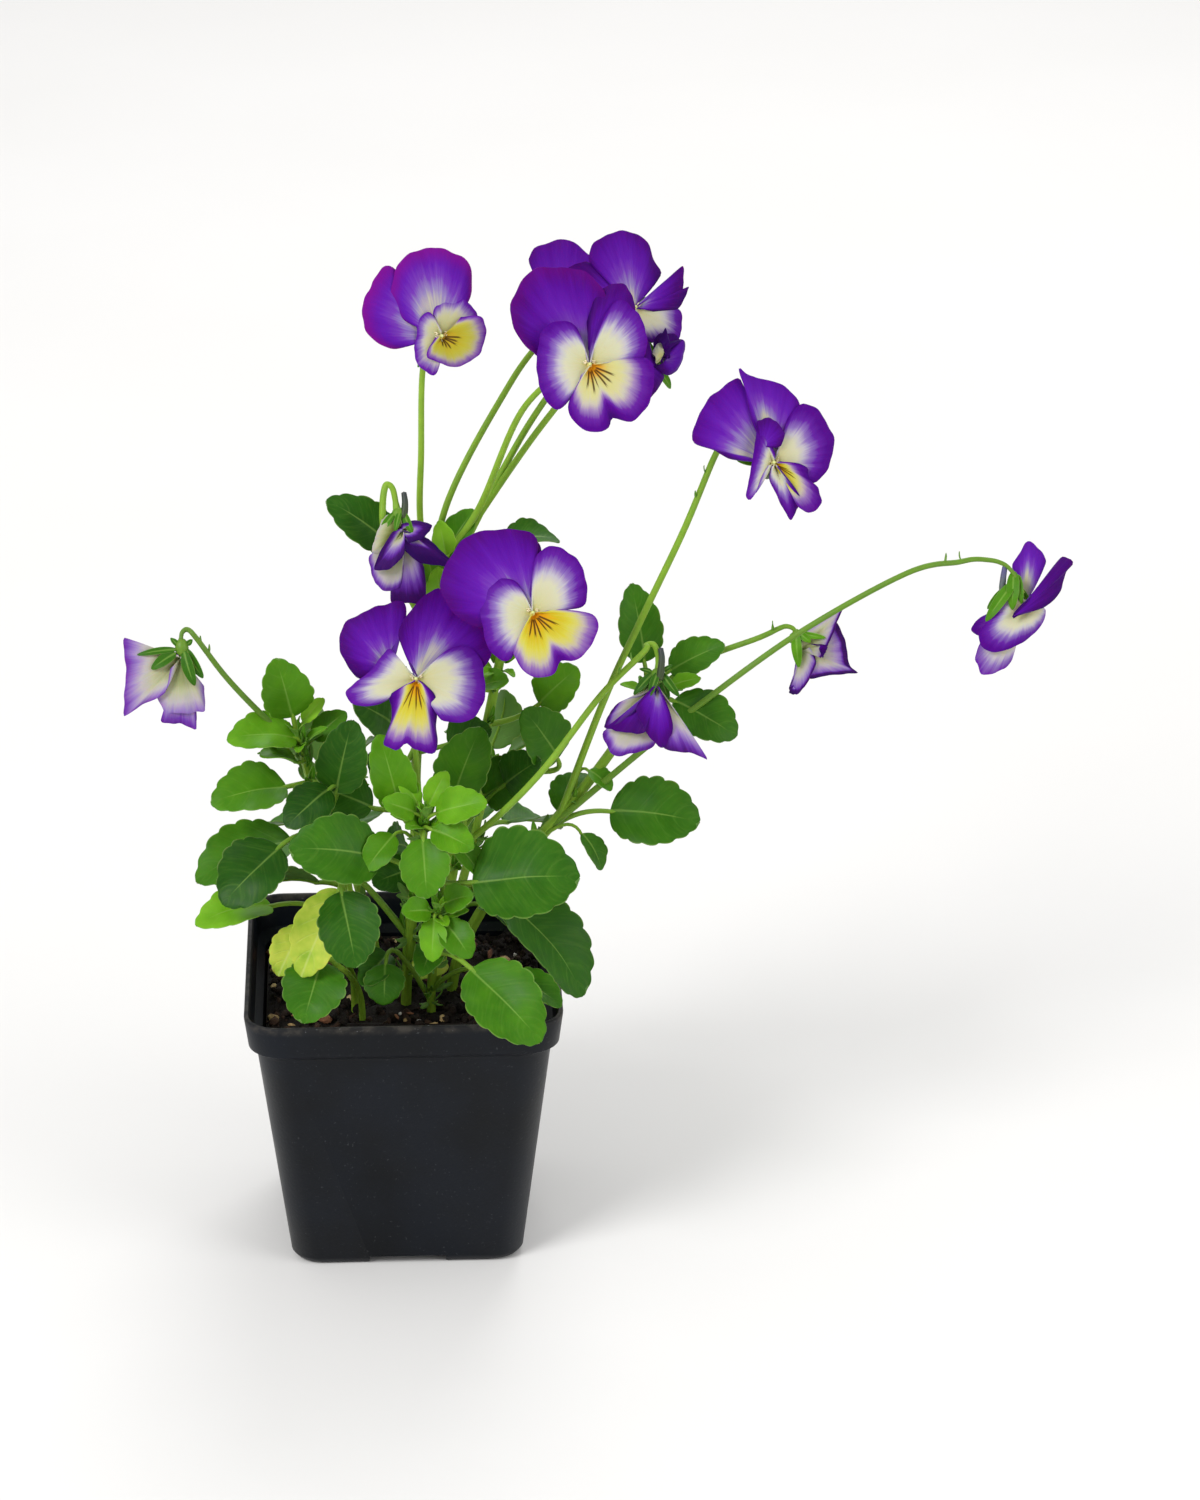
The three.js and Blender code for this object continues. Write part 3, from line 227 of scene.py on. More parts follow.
# Each flower: the shoot it springs from and where, its stalk's line, and the middle and facing of its
# face. Points after that are given from there, to its right, up and out: "arch" ends a stalk, "spur" is
# the spur's line, and a flower seen from its side has a calyx made of a cup, as middle and radii, and
# sepals, as root, tip and width. "thin" is the stalk's radius at the flower. "tone" and "calyx_tone" run
# from 0, dark, to 1, bright. A faded flower is past its best; a crumpled one shows no throat.
FLOWERS = {
    "a": {
        "shoot": "back", "from": 0.93, "stalk": [(7, 12, 212), (7.5, 8, 234), (8, 3, 257)], "tone": 0.75,
        "throat": (13, -5, 272), "faces": (0.32, -0.88, 0.33),
    },
    "b": {
        "shoot": "back", "from": 0.99, "stalk": [(23, 13, 214), (36, 6, 247)], "tone": 0.7,
        "throat": (53.5, -10, 265), "faces": (0.1, -0.92, 0.38),
    },
    "c": {
        "shoot": "back", "from": 0.88, "stalk": [(31, 17, 226), (44, 17, 248)], "throat": (67, 20, 271),
        "faces": (0.35, -0.86, 0.36),
    },
    "d": {
        "shoot": "back", "from": 0.94, "stalk": [(25, 16, 214), (42, 14, 240), (58, 16, 258)],
        "throat": (75, 12, 257), "faces": (0.45, -0.75, 0.3), "crumpled": True,
    },
    "e": {
        "shoot": "back", "from": 0.84, "stalk": [(14, 20, 212), (33, 35, 244), (44, 42, 256)],
        "throat": (47, 34, 260), "faces": (-0.15, -0.9, 0.4),
    },
    "f": {
        "shoot": "right", "from": 0.6,
        "stalk": [(58, -1, 162), (68, -4, 187), (80, -2, 213), (89, 2, 234)],
        "arch": [(-10.6, 7, -5), (-6, 8, -7.4), (-1.4, 3.4, -7), (0, 0.4, -5)], "throat": (104, -8, 235),
        "faces": (0.25, -0.9, 0.33),
    },
    "g": {
        "shoot": "right", "from": 0.55,
        "stalk": [(68, -2, 146), (85, -3, 161), (113, -2, 182), (143, 0, 198.6)],
        "arch": [(-17.7, 14, 0), (-13.5, 14.6, 0), (-9.7, 14.3, 0), (-6.6, 13.6, 0.3), (-4, 12, 0.8),
            (-1.8, 8.6, 1.6), (-0.3, 4.6, 2)],
        "thin": 0.5, "tone": 0.25, "throat": (176, 0, 187), "faces": VIEWER,
        "cup": ((-2.4, 6.4, 0.2), (1.5, 2.6, 1.4)),
        "sepals": [((-2.2, 8.2, 1.2), (-11.2, -3, 2.4), 3.4), ((-2.4, 10.8, 0.6), (-3.6, 0, 2.8), 3.6),
            ((-1.2, 9.8, 0.6), (-0.9, 1.6, 2.6), 2.2), ((-3, 7, -0.6), (-10, 0.6, -1.2), 2.6),
            ((-1.6, 7, -0.8), (2.4, 1.2, -2), 2.4)],
        "spur": [(-4.4, 2.6, 0.4), (-5.8, 5.4, 0.6), (-5.5, 8.8, 0.4), (-4.8, 12.2, 0)], "spur_dark": 0.0,
    },
    "h": {
        "shoot": "right", "from": 0.98, "stalk": [(85, 7, 170), (102, 6.5, 177)],
        "arch": [(-6.2, 6.5, 0), (-3.9, 7.1, 0), (-2, 6.4, 0.2), (-1.4, 5, 0.4)], "thin": 0.6, "tone": 0.4,
        "throat": (114, 6, 173), "faces": VIEWER, "faded": True,
        "cup": ((-1.2, 4.4, 0.4), (1.3, 1.9, 1.2)),
        "sepals": [((-1.4, 5.6, 1), (-1, -4.6, 2), 3), ((-0.4, 5.2, 1.2), (6.8, 3.5, 2.6), 1.8),
            ((-0.2, 5, 1.2), (2.6, 2.4, 2.4), 2.2), ((-1.8, 5.2, 0.4), (-3, 2.4, 1), 1.8),
            ((-0.8, 4.8, -0.8), (1.6, -1.6, -2.2), 2.4)],
        "calyx_tone": 0.6,
    },
    "i": {
        "shoot": "front", "from": 0.7,
        "stalk": [(22, -26, 133), (39, -29, 152), (56, -26, 174), (68, -22, 185)],
        "arch": [(-2.4, 11, 0), (-0.4, 11.2, 0), (0.6, 8.6, 0.2), (0.6, 4.4, 0.4)],
        "throat": (71.5, -24, 176), "faces": VIEWER, "faded": True,
        "cup": ((0.4, 2.6, 0.6), (2.1, 2.2, 1.6)),
        "sepals": [((-0.8, 3.4, 1), (-6.6, -2.4, 2), 2.4), ((1.4, 3.4, 1), (6, -3.4, 2), 2.4),
            ((0.4, 3.6, 1.6), (-2.4, -3.2, 3.4), 2.2), ((-0.6, 3, -0.6), (-4.4, -3, -2.6), 2.4),
            ((1.2, 3, -0.6), (3.6, -4, -2.8), 2.4), ((-1, 3.6, 0.6), (-4.6, 4.6, 1), 1.4),
            ((1.6, 3.8, 0.6), (4.4, 5.4, 1), 1.4)],
        "calyx_tone": 0.2, "spur": [(0.8, 1.6, 2), (1.2, 4.4, 2.2), (1.6, 7.4, 2), (1.4, 10, 1.4)],
        "spur_dark": 0.8,
    },
    "j": {
        "shoot": "left", "from": 0.9, "stalk": [(-38, -4, 160), (-48, -4, 172), (-56, -4, 184)],
        "arch": [(2.3, 7.8, 0), (0.7, 7.1, 0.2), (0.2, 4.8, 0.4)], "thin": 0.6, "tone": 0.1,
        "throat": (-60.5, -5, 178.5), "faces": VIEWER, "faded": True,
        "cup": ((0.4, 2.9, 0.5), (1.9, 2.7, 1.6)),
        "sepals": [((-0.9, 2.4, 1), (-12, 1.3, 2), 2), ((-1.4, 1.4, 1.4), (-8.2, -2.8, 2.6), 3.4),
            ((1.6, 2.4, 1), (6, -5.8, 1.6), 3), ((1, 1.8, 1.6), (3.6, -7.8, 2.4), 3.4),
            ((-0.4, 2, -0.8), (-3, -5, -2), 2.8), ((-0.6, 3.4, 0.8), (-2.6, 5.6, 1), 1.6),
            ((1.6, 3.6, 0.6), (3.4, 5, 1), 1.6)],
        "calyx_tone": 0.28,
    },
    "k": {
        "shoot": "back", "from": 0.82, "stalk": [(-1, 2, 203)],
        "arch": [(-5.2, 1, -1), (-5.2, 8, 0), (-4.4, 12.2, 0), (-3.4, 12.8, 0), (-2.2, 11.2, 0),
            (-1.4, 6, 0)],
        "thin": 0.85, "throat": (2, -6, 216), "faces": VIEWER, "faded": True,
        "cup": ((-1, 4.4, 0.4), (1.9, 2.1, 1.6)),
        "sepals": [((-2, 5, 0.8), (-6.4, -0.6, 1.6), 2.2), ((0.4, 5, 1), (2.6, -1, 2.6), 2.2),
            ((-0.6, 5.2, 1.4), (-2.2, -0.4, 3), 1.8), ((-1.4, 4.6, -1), (-4.6, -2, -2.4), 2.4),
            ((0.2, 4.6, -1), (3.2, -1.6, -2.6), 2.4)],
        "calyx_tone": 0.4, "spur": [(0.2, 3.4, 1), (0.7, 5.6, 1), (0.9, 8, 0.8), (0.7, 10.4, 0.4)],
        "spur_dark": 0.8,
    },
    "l": {
        "shoot": "mid", "from": 0.99, "stalk": [(31, 0, 186), (34, -14, 196)], "throat": (37, -34, 202),
        "faces": (0.05, -0.9, 0.43),
    },
    "m": {
        "shoot": "front", "from": 0.85, "stalk": [(5, -14, 145), (4, -12, 165)], "throat": (5, -29, 181),
        "faces": (-0.02, -0.92, 0.38),
    },
}

# The material slots of a flower.
UPPER, SIDE, LOWER, THROAT, SPUR, FADED = range(6)

# Petals: slot, layer towards the viewer, edge points as right, up and, where the petal leaves the plane,
# out, and its own look. "from" is its foot where that isn't the throat, "round" how soft its corners
# are, and "ruffle", "dome" and "fold" shape its relief. The colour at a point is that of its place from
# throat to edge, moved outwards by "shift" everywhere, by "skew" from side to side, by "flank" at the
# sides, by "kerf" at the nick between two lobes and by "rim" at the edge, moved inwards by "ray" (its
# place and strength) on a streak, and started further out by "deep". The rest are tints.
OUTLINES = {
    "a": [
        (UPPER, -2.4, [(-3, 3), (-9.5, 19.9), (-15.6, 17.9), (-19.7, 10.7), (-19.9, 4.6), (-16.6, 0),
         (-11.5, -1.7), (-6.5, 0)], {"magenta": 0.75, "shift": -0.2}),
        (UPPER, -1.2, [(-1, 1), (-9.5, 6.1), (-11.7, 11.7), (-10, 18.9), (-5.4, 23), (-0.3, 24.3),
         (5.8, 23.5), (10.9, 19.4), (12.1, 14.8), (10.9, 9.7), (7.9, 6)], {"magenta": 0.75, "shift": -0.25}),
        (SIDE, -0.3, [(-1, 1), (-0.8, 7.2), (2.8, 10.2), (7.9, 9.2), (11.2, 6), (12.2, 1.5), (6, 0.5)],
         {"warm": 0.35, "shift": -0.08}),
        (SIDE, 0.2, [(0, 2), (-2.3, 7.1), (-5.4, 5.1), (-6.2, 1.5), (-7.4, -2.6), (-6.9, -6.6),
         (-3.4, -10.2), (-1.3, -7.7), (0, -3)], {"warm": 0.3, "shift": -0.1, "fold": 2.2}),
        (LOWER, 1.4, [(-1.5, 0), (-5.4, -4.6, 1.5), (-2.3, -6.6), (2.8, -8.5, -1.5), (7.9, -7.6),
         (11.4, -4.8, 1), (13, -0.5), (11.6, 4, 1.2), (6.5, 4.6)],
         {"warm": 0.55, "shift": -0.14, "ruffle": 1.0, "flank": 0.1}),
    ],
    "b": [
        (UPPER, -2.4, [(2, 2), (11.5, 8), (14, 14.5), (12, 20.5), (7.5, 22), (3.5, 19), (0.5, 12)],
         {"shift": 0.05}),
        (UPPER, -1.4, [(3, 3), (6.4, 10), (6.4, 16.4), (4.4, 22), (-0.2, 26.1), (-8.4, 27.3), (-15.5, 25.1),
         (-20.1, 18.5), (-20.4, 12.3), (-17.6, 7.2), (-13, 3.2), (-5, 1)], {"magenta": 0.22, "dome": -2}),
        (SIDE, 0.2, [(0.5, 1), (2.5, 8), (4.9, 12.8), (8, 16.6), (11.4, 17), (14.6, 12.6), (16.1, 7.2),
         (15.8, 2.4), (13.6, 0.2), (8, 0.2)], {"skew": -0.06}),
        (SIDE, 0.1, [(-0.6, 1.8), (-3, 10.6), (-8.4, 12.3), (-12.8, 8.6), (-14.4, 1.1), (-13.5, -6),
         (-10.4, -11.6), (-6.3, -9.6), (-3.3, -3.6)], {"skew": -0.04, "shift": 0.03}),
        (LOWER, 1.4, [(-0.6, -0.8), (-4.2, -6), (-6.5, -11.4), (-4.3, -16.2), (0.6, -18.6), (4.2, -17.4),
         (5.5, -14.5), (10.8, -15.9), (15.8, -11.2), (17.6, -4.6), (15.6, 1.1), (7, 0.6)],
         {"shift": 0.04, "pale": 0.4, "kerf": 0.35}),
    ],
    "c": [
        (UPPER, -2.4, [(-1, 1), (-14, 4), (-17.5, 9), (-16, 13.5), (-11, 14.6), (-6, 11)], {"shift": 0.1}),
        (UPPER, -1.4, [(0, 1), (-7.3, 10.2), (-10.2, 15.4), (-7.3, 20), (0, 21.3), (7, 19), (9.3, 12.3),
         (10.6, 8.1), (6, 4)], {"shift": -0.05}),
        (UPPER, 0.8, [(0.5, 0.3), (7.8, 4, 1), (14.4, 9.4, 3), (14.8, 3.1, 2), (16.9, 3.6, 2),
         (12.9, -2.2, 1), (7.8, -2.5)], {"shift": 0.14, "round": 0.45, "fold": -1.6}),
        (SIDE, 0.1, [(0.5, 0), (1.2, -3.5), (2, -6.6), (2.6, -9.8), (7.1, -10.3), (13, -10), (13.9, -5.6),
         (13.6, -2.4), (7.5, -0.6)], {"shift": -0.02, "pale": 0.3}),
        (SIDE, -0.4, [(-0.5, -1), (-8, -1), (-11.4, -5), (-9, -9.6), (-3, -8), (0, -3)], {}),
    ],
    "d": [
        (UPPER, -0.6, [(-2, 2), (-1.5, 6.5), (1.6, 8.6), (6, 7.6), (7, 5.4), (4.6, 4), (2, 0)],
         {"shift": 0.3, "round": 0.6}),
        (UPPER, -0.8, [(-6.4, 3.9), (-4.6, 7.9), (-2.5, 7.2), (-1.8, 2.4), (-0.8, -0.6), (0.3, -3.2),
         (-1.5, -5.2), (-4.5, -7.6), (-6.4, -8.7), (-7.3, -3.9)],
         {"from": (-5.6, 0.3), "deep": 0.5, "shift": 0.05, "round": 0.5}),
        (UPPER, 1, [(-3.4, 0.1), (0.1, -2.9), (3.1, -2.5), (5.3, -0.9), (7.4, 3), (7.1, 5.8), (3.7, 5),
         (0.3, 2.9)], {"from": (0, 1.2), "deep": 0.4, "shift": -0.1, "dome": 1.2}),
        (SIDE, 0.9, [(-3.3, 3.8), (-0.6, 6.3), (1.3, 5), (-1.6, 1.7)],
         {"from": (-3, 0.9), "shift": -0.4, "round": 0.5, "pale": 0.3}),
        (UPPER, 1.5, [(-1, 6.8), (2.4, 9.8), (2.7, 6.1), (6.6, 5.8), (3.1, 4.1), (1.5, 1.1), (-0.4, 2.3)],
         {"from": (-0.2, 4.4), "deep": 0.6, "shift": 0.4, "round": 0.2}),
    ],
    "e": [
        (UPPER, -2.4, [(-1, 1), (-3, 9), (-6, 14.5), (-10.5, 13.5), (-12.4, 9), (-11.5, 4), (-7, 0),
         (-3, -1)], {"shift": 0.05}),
        (UPPER, -1.4, [(-0.5, 1), (-6, 12), (-9.8, 18.6), (-9.5, 21.4), (-8.3, 23.3), (-4.6, 24.9),
         (0.6, 25.2), (4.8, 23.3), (9, 20.1), (12.7, 18), (13.6, 15), (8, 7), (2, 1)],
         {"shift": -0.1, "dome": -1}),
        (SIDE, 0.2, [(0.5, 1), (5, 5.5), (10, 5), (12, 0), (9, -4.5), (3, -2)], {}),
        (SIDE, 0.1, [(-0.5, 0.6), (-5, 2), (-9, 0), (-8.6, -4.5), (-5, -8), (-1.5, -3)], {}),
        (LOWER, 1.4, [(-0.8, -0.8), (-4, -6), (-4, -11), (-1, -13.4), (2, -11.6), (5.6, -12.6), (8, -8),
         (6, -3), (2, -0.4)], {"kerf": 0.3}),
    ],
    "f": [
        (UPPER, -2.4, [(-0.6, 2.5), (-3.6, 14), (-5.5, 23.6), (-8.8, 23.7), (-15, 19.5), (-19.7, 14.1),
         (-21.5, 9), (-20.4, 7.4), (-15.3, 5.2), (-11.5, 2.6), (-8, 1.6), (-4, 1.4)],
         {"shift": -0.14, "round": 0.8, "dome": 1.5, "ray": (0.4, 0.2)}),
        (UPPER, -1.3, [(-0.8, 3), (-4.6, 12, 1), (-5.4, 20.7, 1.6), (-6.6, 27.4, 2), (-3.3, 24.6, 1),
         (0.9, 22.8), (4, 22), (7.8, 19.1), (10.3, 15.3), (7, 10), (3, 5)],
         {"shift": -0.2, "round": 0.75, "fold": 2, "ray": (0.1, 0.25)}),
        (SIDE, 0.2, [(1, 1.8), (4, 7.8), (6.2, 12), (11, 15.3), (15.8, 12.2), (18.4, 4.3), (16, -3),
         (11.9, -6.8), (9, -3.4), (5, -1)], {"skew": 0.03, "shift": 0.11}),
        (UPPER, 1.9, [(-3.8, 5.6), (-4, 8.5), (-3.8, 12.3, 1), (-0.8, 12.6, 1), (1.4, 11.3, 1.4),
         (3.6, 8, 1.6), (2.4, 4.6, 0.6), (0.8, 4.1), (-1.2, 4.6)],
         {"from": (-3, 5.2), "deep": 0.42, "round": 0.45, "skew": -0.08, "ruffle": 0.2, "dome": 0.3}),
        (SIDE, 1.0, [(0.4, 3.6), (-3.3, 11.6, 1), (-4.9, 6.6, 1.6), (-6.3, 1.4, 2), (-8.6, -5.4, 2.4),
         (-9, -8.3, 2), (-7.9, -9.2, 2), (-6, -6.6, 1.6), (-4.2, -3.2, 1), (-2, -0.6)],
         {"shift": 0.06, "fold": 1.5, "skew": -0.3}),
        (LOWER, 1.3, [(0.2, -0.4), (2.6, -6), (5, -11), (6, -13.2, 1), (8.8, -14.7), (11.6, -13.5),
         (13.1, -12), (12.2, -8.2), (10, -5.6), (9.2, -2.4, 1.6), (6.8, -0.8, 1.6), (2, 0.2, 1)],
         {"round": 0.75, "fold": -1.5, "skew": 0.25, "shift": 0.04}),
        (SIDE, 1.6, [(-1, -0.8), (-1.6, -4.4, -1), (0.8, -10, -1), (3.6, -16.2), (6, -13, 1),
         (6.2, -9.8, 1.6), (4, -6.6, 1.6), (1.2, -2.6, 1)],
         {"round": 0.6, "fold": 2, "skew": 0.36, "shift": 0.14}),
    ],
    "g": [
        (UPPER, -2.5, [(0, 0.5), (-0.9, 7, -2), (-1.5, 12.6, -4), (1.1, 16.2, -5), (3.9, 19.8, -6),
         (6.4, 17.2, -5), (8.1, 13.4, -4), (5, 8.4, -2), (1.6, 2.5)],
         {"shift": -0.2, "round": 0.8, "ray": (0, 0.2)}),
        (UPPER, 4.2, [(-3.4, -1), (-1.2, 1.3), (1.6, 3.4), (5.1, 7.3, -3), (9.4, 11.8, -6),
         (12.4, 14.4, -8), (15, 13.8, -8), (15.4, 12.4, -8), (13.2, 10.2, -7), (11.4, 5.7, -5),
         (8.8, 2.6, -3), (5.5, 0.4, -1), (1.6, -0.5), (-1.6, -1.4), (-3.6, -2.4)],
         {"from": (-3.9, -2), "deep": 0.5, "shift": 0.16, "round": 0.8, "dome": 0.2, "ruffle": 0.2}),
        (SIDE, 0.9, [(1, 2), (-2, 4.6, 0.6), (-5.4, 3.2, 1), (-8.6, 0, 1.4), (-11.3, -3.3, 2),
         (-13.4, -6.3, 2), (-12.8, -9.5, 2), (-10.4, -11.2, 1), (-6.4, -11.5, 1), (-2.7, -10.2, 1),
         (1.6, -7.8), (5.1, -4.3, -1), (6.6, -0.2, -2), (3, 0.8)],
         {"shift": 0.06, "dome": 1.2, "flank": -0.6}),
        (SIDE, -1.0, [(-1, -1), (-10, -5), (-13.8, -12.4), (-13.3, -15), (-12.2, -17.4), (-9.3, -17.8),
         (-6, -16.6), (-3.4, -14), (-2.4, -9), (-0.5, -4)], {"shift": -0.14, "round": 0.8}),
        (SIDE, -2.2, [(0, 0), (-9, -0.6, -2), (-14, -4.5, -3), (-11, -7, -3), (-3, -4)], {"shift": 0.1}),
    ],
    "h": [
        (FADED, 0.4, [(0, 2), (1.1, 6), (7.6, 9.3, 1), (12.6, 12.5, 1.5), (10.6, 8, 1), (8.7, 3.8, 2),
         (7.2, 0.6, 2.4), (5.3, -2.2, 2.6), (2.6, 0.9, 1)], {"round": 0.4, "shift": -0.2, "rim": 0.3}),
        (FADED, -0.6, [(2, 1), (10.4, 8), (13.2, 0, 1), (14, -5, 1), (16.3, -6.9, 1), (13.2, -6.8),
         (8, -7.2), (2.2, -8), (1, -3)], {"round": 0.35, "shift": -0.06, "rim": 0.35}),
        (FADED, 0.2, [(-1, 0), (-1.8, -3.5, 1), (-2.8, -8.4, 1), (-3.8, -10.8), (-1.9, -12.3), (0, -10.8),
         (2.3, -7.6, 1), (4, -3.5, 2), (3, 0.4, 1)], {"round": 0.7, "shift": -0.06, "rim": 0.15}),
        (UPPER, 1.4, [(2.6, 1.8, 2), (7.2, 1.2, 2.6), (5.6, -2.3, 3)],
         {"from": (4.6, 1.4), "shift": 0.3, "round": 0.5}),
        (FADED, -0.4, [(2.6, -3.6), (-3.4, -10.8), (-2, -12.2), (-0.6, -10)],
         {"from": (-2.2, -9.6), "shift": 0.4}),
    ],
    "i": [
        (FADED, 0.4, [(-1.5, -1), (-6.1, -3.6, 1), (-10.4, -4.3, 1), (-13.5, -7.4, 1), (-14.9, -11.3),
         (-10.9, -9.8, 1), (-5, -7)], {"round": 0.7, "shift": -0.16, "rim": 0.2}),
        (UPPER, 1.6, [(-2, -2), (-6.6, -6.9, 2), (-10.9, -10, 1.6), (-15, -11.6, 1), (-9.4, -12.7, 2),
         (-4.2, -13, 3), (-2, -7, 2)], {"round": 0.5, "shift": 0.15}),
        (FADED, 0.0, [(-2, -3), (-9, -10, 1), (-15.2, -12.4), (-14.7, -15.5), (-11.6, -19.3),
         (-6.6, -18.6, 1), (-1.3, -16.7, 1), (-1, -9)], {"round": 0.8, "shift": -0.32, "rim": 0.25}),
        (UPPER, 2.4, [(-1.6, -0.6), (-6.3, -6, 2), (-4.9, -10.7, 3), (-1.8, -15.5, 3), (0.8, -17.6, 2),
         (3.6, -13.1, 2), (3.2, -8.3, 2), (1, -2.4)], {"round": 0.8, "shift": 0.06, "fold": 2}),
        (FADED, 1.0, [(0, -1), (2.6, -4.2, 1), (6.3, -9.8, 1), (9.6, -15, 1), (13.4, -21.2),
         (10.1, -19.8, 1), (6.4, -18.6, 2), (0.8, -17.4, 2), (0, -8)],
         {"round": 0.5, "shift": -0.08, "skew": 0.2}),
    ],
    "j": [
        (FADED, 0.8, [(-1, 1), (-8, 2.6), (-11.8, 4.6), (-15.7, 6.2), (-15.6, -0.1, 1), (-15.5, -6.5, 1),
         (-16.4, -15.6), (-11.6, -12.9, 1), (-6.9, -10.9, 2), (-4.4, -9, 3), (-3, -3, 2)],
         {"round": 0.4, "shift": -0.13, "magenta": 0.1, "skew": -0.06}),
        (FADED, 0.0, [(-1.5, -2), (-5.4, -7), (-6.9, -10.9), (-4.9, -15.1), (0, -15.4, 1), (3.6, -15),
         (6.2, -15.2), (6.2, -8.2), (4.4, -6), (1.5, -1)], {"round": 0.35, "shift": -0.24, "skew": 0.06}),
        (FADED, -0.8, [(-1, -6), (-4.6, -13), (-6.2, -17.5), (-1.4, -18.4), (3.5, -19.9), (3.7, -13),
         (1, -6)], {"round": 0.3, "shift": -0.08}),
    ],
    "k": [
        (FADED, 1.6, [(-1.4, -1), (0.1, 2, 1), (3.9, 2.6, 1), (8, 1, 1), (5.5, -2.4, 2), (1.4, -3.6, 3)],
         {"round": 0.6, "shift": 0.3}),
        (FADED, 2.0, [(-1, 0.6), (-3.4, -0.9, 2), (-6.8, -6, 2), (-8.4, -10.8, 2), (-4.2, -10.6, 3),
         (-0.2, -6.8, 3), (0.6, -2)], {"round": 0.6, "shift": 0.24}),
        (FADED, 1.2, [(-0.6, 4.6), (-5, 4.2), (-6.6, 1, 1), (-8.9, -5.6, 1), (-5.4, -5.4, 1), (-1, -2.4, 1)],
         {"shift": -0.5, "round": 0.7}),
        (FADED, 0.4, [(-1.4, -0.6), (-6.3, -5, 1), (-9.7, -7), (-9, -10.8), (-7.8, -14.8), (-4.8, -16.8),
         (-1.2, -14.8, 1), (0, -8, 1)], {"round": 0.9, "shift": -0.3, "rim": 0.2}),
        (FADED, 1.2, [(0.6, -0.6), (6.5, -2.4, 1), (10.6, -6.2, 1), (15.7, -11.8), (10.1, -10.2, 1),
         (4.4, -9.2, 2), (0.4, -6, 2)], {"round": 0.6, "shift": 0.5, "fold": 2}),
        (FADED, -0.2, [(-1, -2), (-3.2, -12), (-3.9, -19.8), (1.4, -20), (5.5, -19.3), (5.6, -10.6),
         (1.9, -4)], {"round": 0.6, "shift": 0.12, "flank": -0.2}),
    ],
    "l": [
        (UPPER, -2.6, [(1, 2), (1.6, 10), (3.4, 16), (2.4, 20), (-1.6, 21.8), (-7.6, 22.4), (-12, 20),
         (-9, 10)], {"shift": 0.14}),
        (UPPER, -1.4, [(-0.6, 1.4), (-0.6, 9), (1, 15), (2.4, 19.4), (0.4, 22.3), (-5, 23.4), (-11.6, 23.8),
         (-16.4, 22), (-20.4, 18), (-23.4, 13.2), (-24.7, 8), (-22.8, 2.3), (-17, -2.2), (-11, -3.2),
         (-4, 0)], {"shift": -0.04, "magenta": 0.05}),
        (SIDE, 0.2, [(-0.3, 1.4), (0.2, 9), (1.3, 14.7), (4.3, 18), (8.3, 18), (12.4, 14.7), (14.9, 9.2),
         (15.2, 4.1), (13.6, 1.3), (6, 0.8)], {"skew": 0.05}),
        (SIDE, 0.1, [(-0.5, 1.4), (-3.4, 8), (-7.3, 9.9), (-11.4, 8.2), (-14, 5), (-14.2, 0), (-12.6, -8),
         (-9.8, -12.2), (-6.6, -12.3), (-4.4, -8), (-2, -2.5)], {}),
        (LOWER, 1.4, [(-0.8, -0.8), (-4, -6), (-5.8, -11), (-2.5, -16.1), (1.8, -17.5), (5.3, -16.3),
         (7.2, -13.4), (10.9, -13.5), (14.9, -10), (17.3, -5.5), (16.6, -1), (8, 0.8)],
         {"shift": -0.14, "kerf": 0.3}),
    ],
    "m": [
        (UPPER, -1.6, [(0.4, 1.4), (-3.9, 9.2), (-4.6, 14, 1), (-1.6, 18.6, 1), (4, 24, 1), (7.4, 24.8),
         (11.6, 19), (17, 15.4), (20.8, 9.6), (20, 4.6), (16, 2), (6, 1)],
         {"fold": 2.5, "ray": (0.08, 0.3)}),
        (SIDE, -2.6, [(-1, 1.5), (-4.6, 4), (-8.4, 5.6), (-9.6, 3), (-7, 0.4), (-3, -0.6)], {"shift": -0.2}),
        (UPPER, -3.2, [(-7.2, 8), (-6.7, 10.8), (-5.2, 13.4), (-2.6, 18), (-4, 21.4), (-10, 20.6),
         (-14.5, 18.6), (-18.8, 15.8), (-21.4, 10.6), (-20.2, 6), (-16.6, 0.9), (-11, -0.4)],
         {"from": (-6.8, 2.6), "skew": 0.1}),
        (SIDE, 0.2, [(0.3, 0.6), (4.8, 4.6), (8.9, 8.1), (14.2, 8.9), (18, 4.6), (19.2, -2.2), (17.6, -8.2),
         (13.9, -11.4), (7.8, -11.8), (5.2, -8.8), (1.6, -2)], {"shift": -0.02}),
        (SIDE, 0.3, [(-0.4, 0.8), (-3.8, 4.2), (-7, 8.4), (-9.2, 6.8), (-13.5, 1.6), (-19.2, -3),
         (-18.1, -6.3), (-15.1, -7.4), (-9.5, -6.4), (-3, -2.4)], {"shift": -0.08, "round": 0.8}),
        (LOWER, 1.4, [(-0.8, -0.8), (-7.2, -4.2, 0.6), (-6.8, -7.6, -1.2), (-7.2, -12, -2), (-9, -17, -2),
         (-8.2, -18.4), (-5.5, -19.3), (-2.8, -17.4, 1.5), (-0.2, -19.7), (4.7, -20.5, -1), (5.7, -17, -2),
         (5.2, -12.6, -2), (5.7, -8.6, -1.6), (5.2, -4.4, 0.6), (2, -1)],
         {"shift": -0.08, "flank": 0.8, "kerf": 0.4, "round": 0.85, "fold": -1.5, "rim": 0.1}),
    ],
}

# ---------------------------------------------------------------- shapes


def unit(v):
    v = np.asarray(v, float)
    return v / np.maximum(np.linalg.norm(v, axis=-1, keepdims=True), 1e-9)


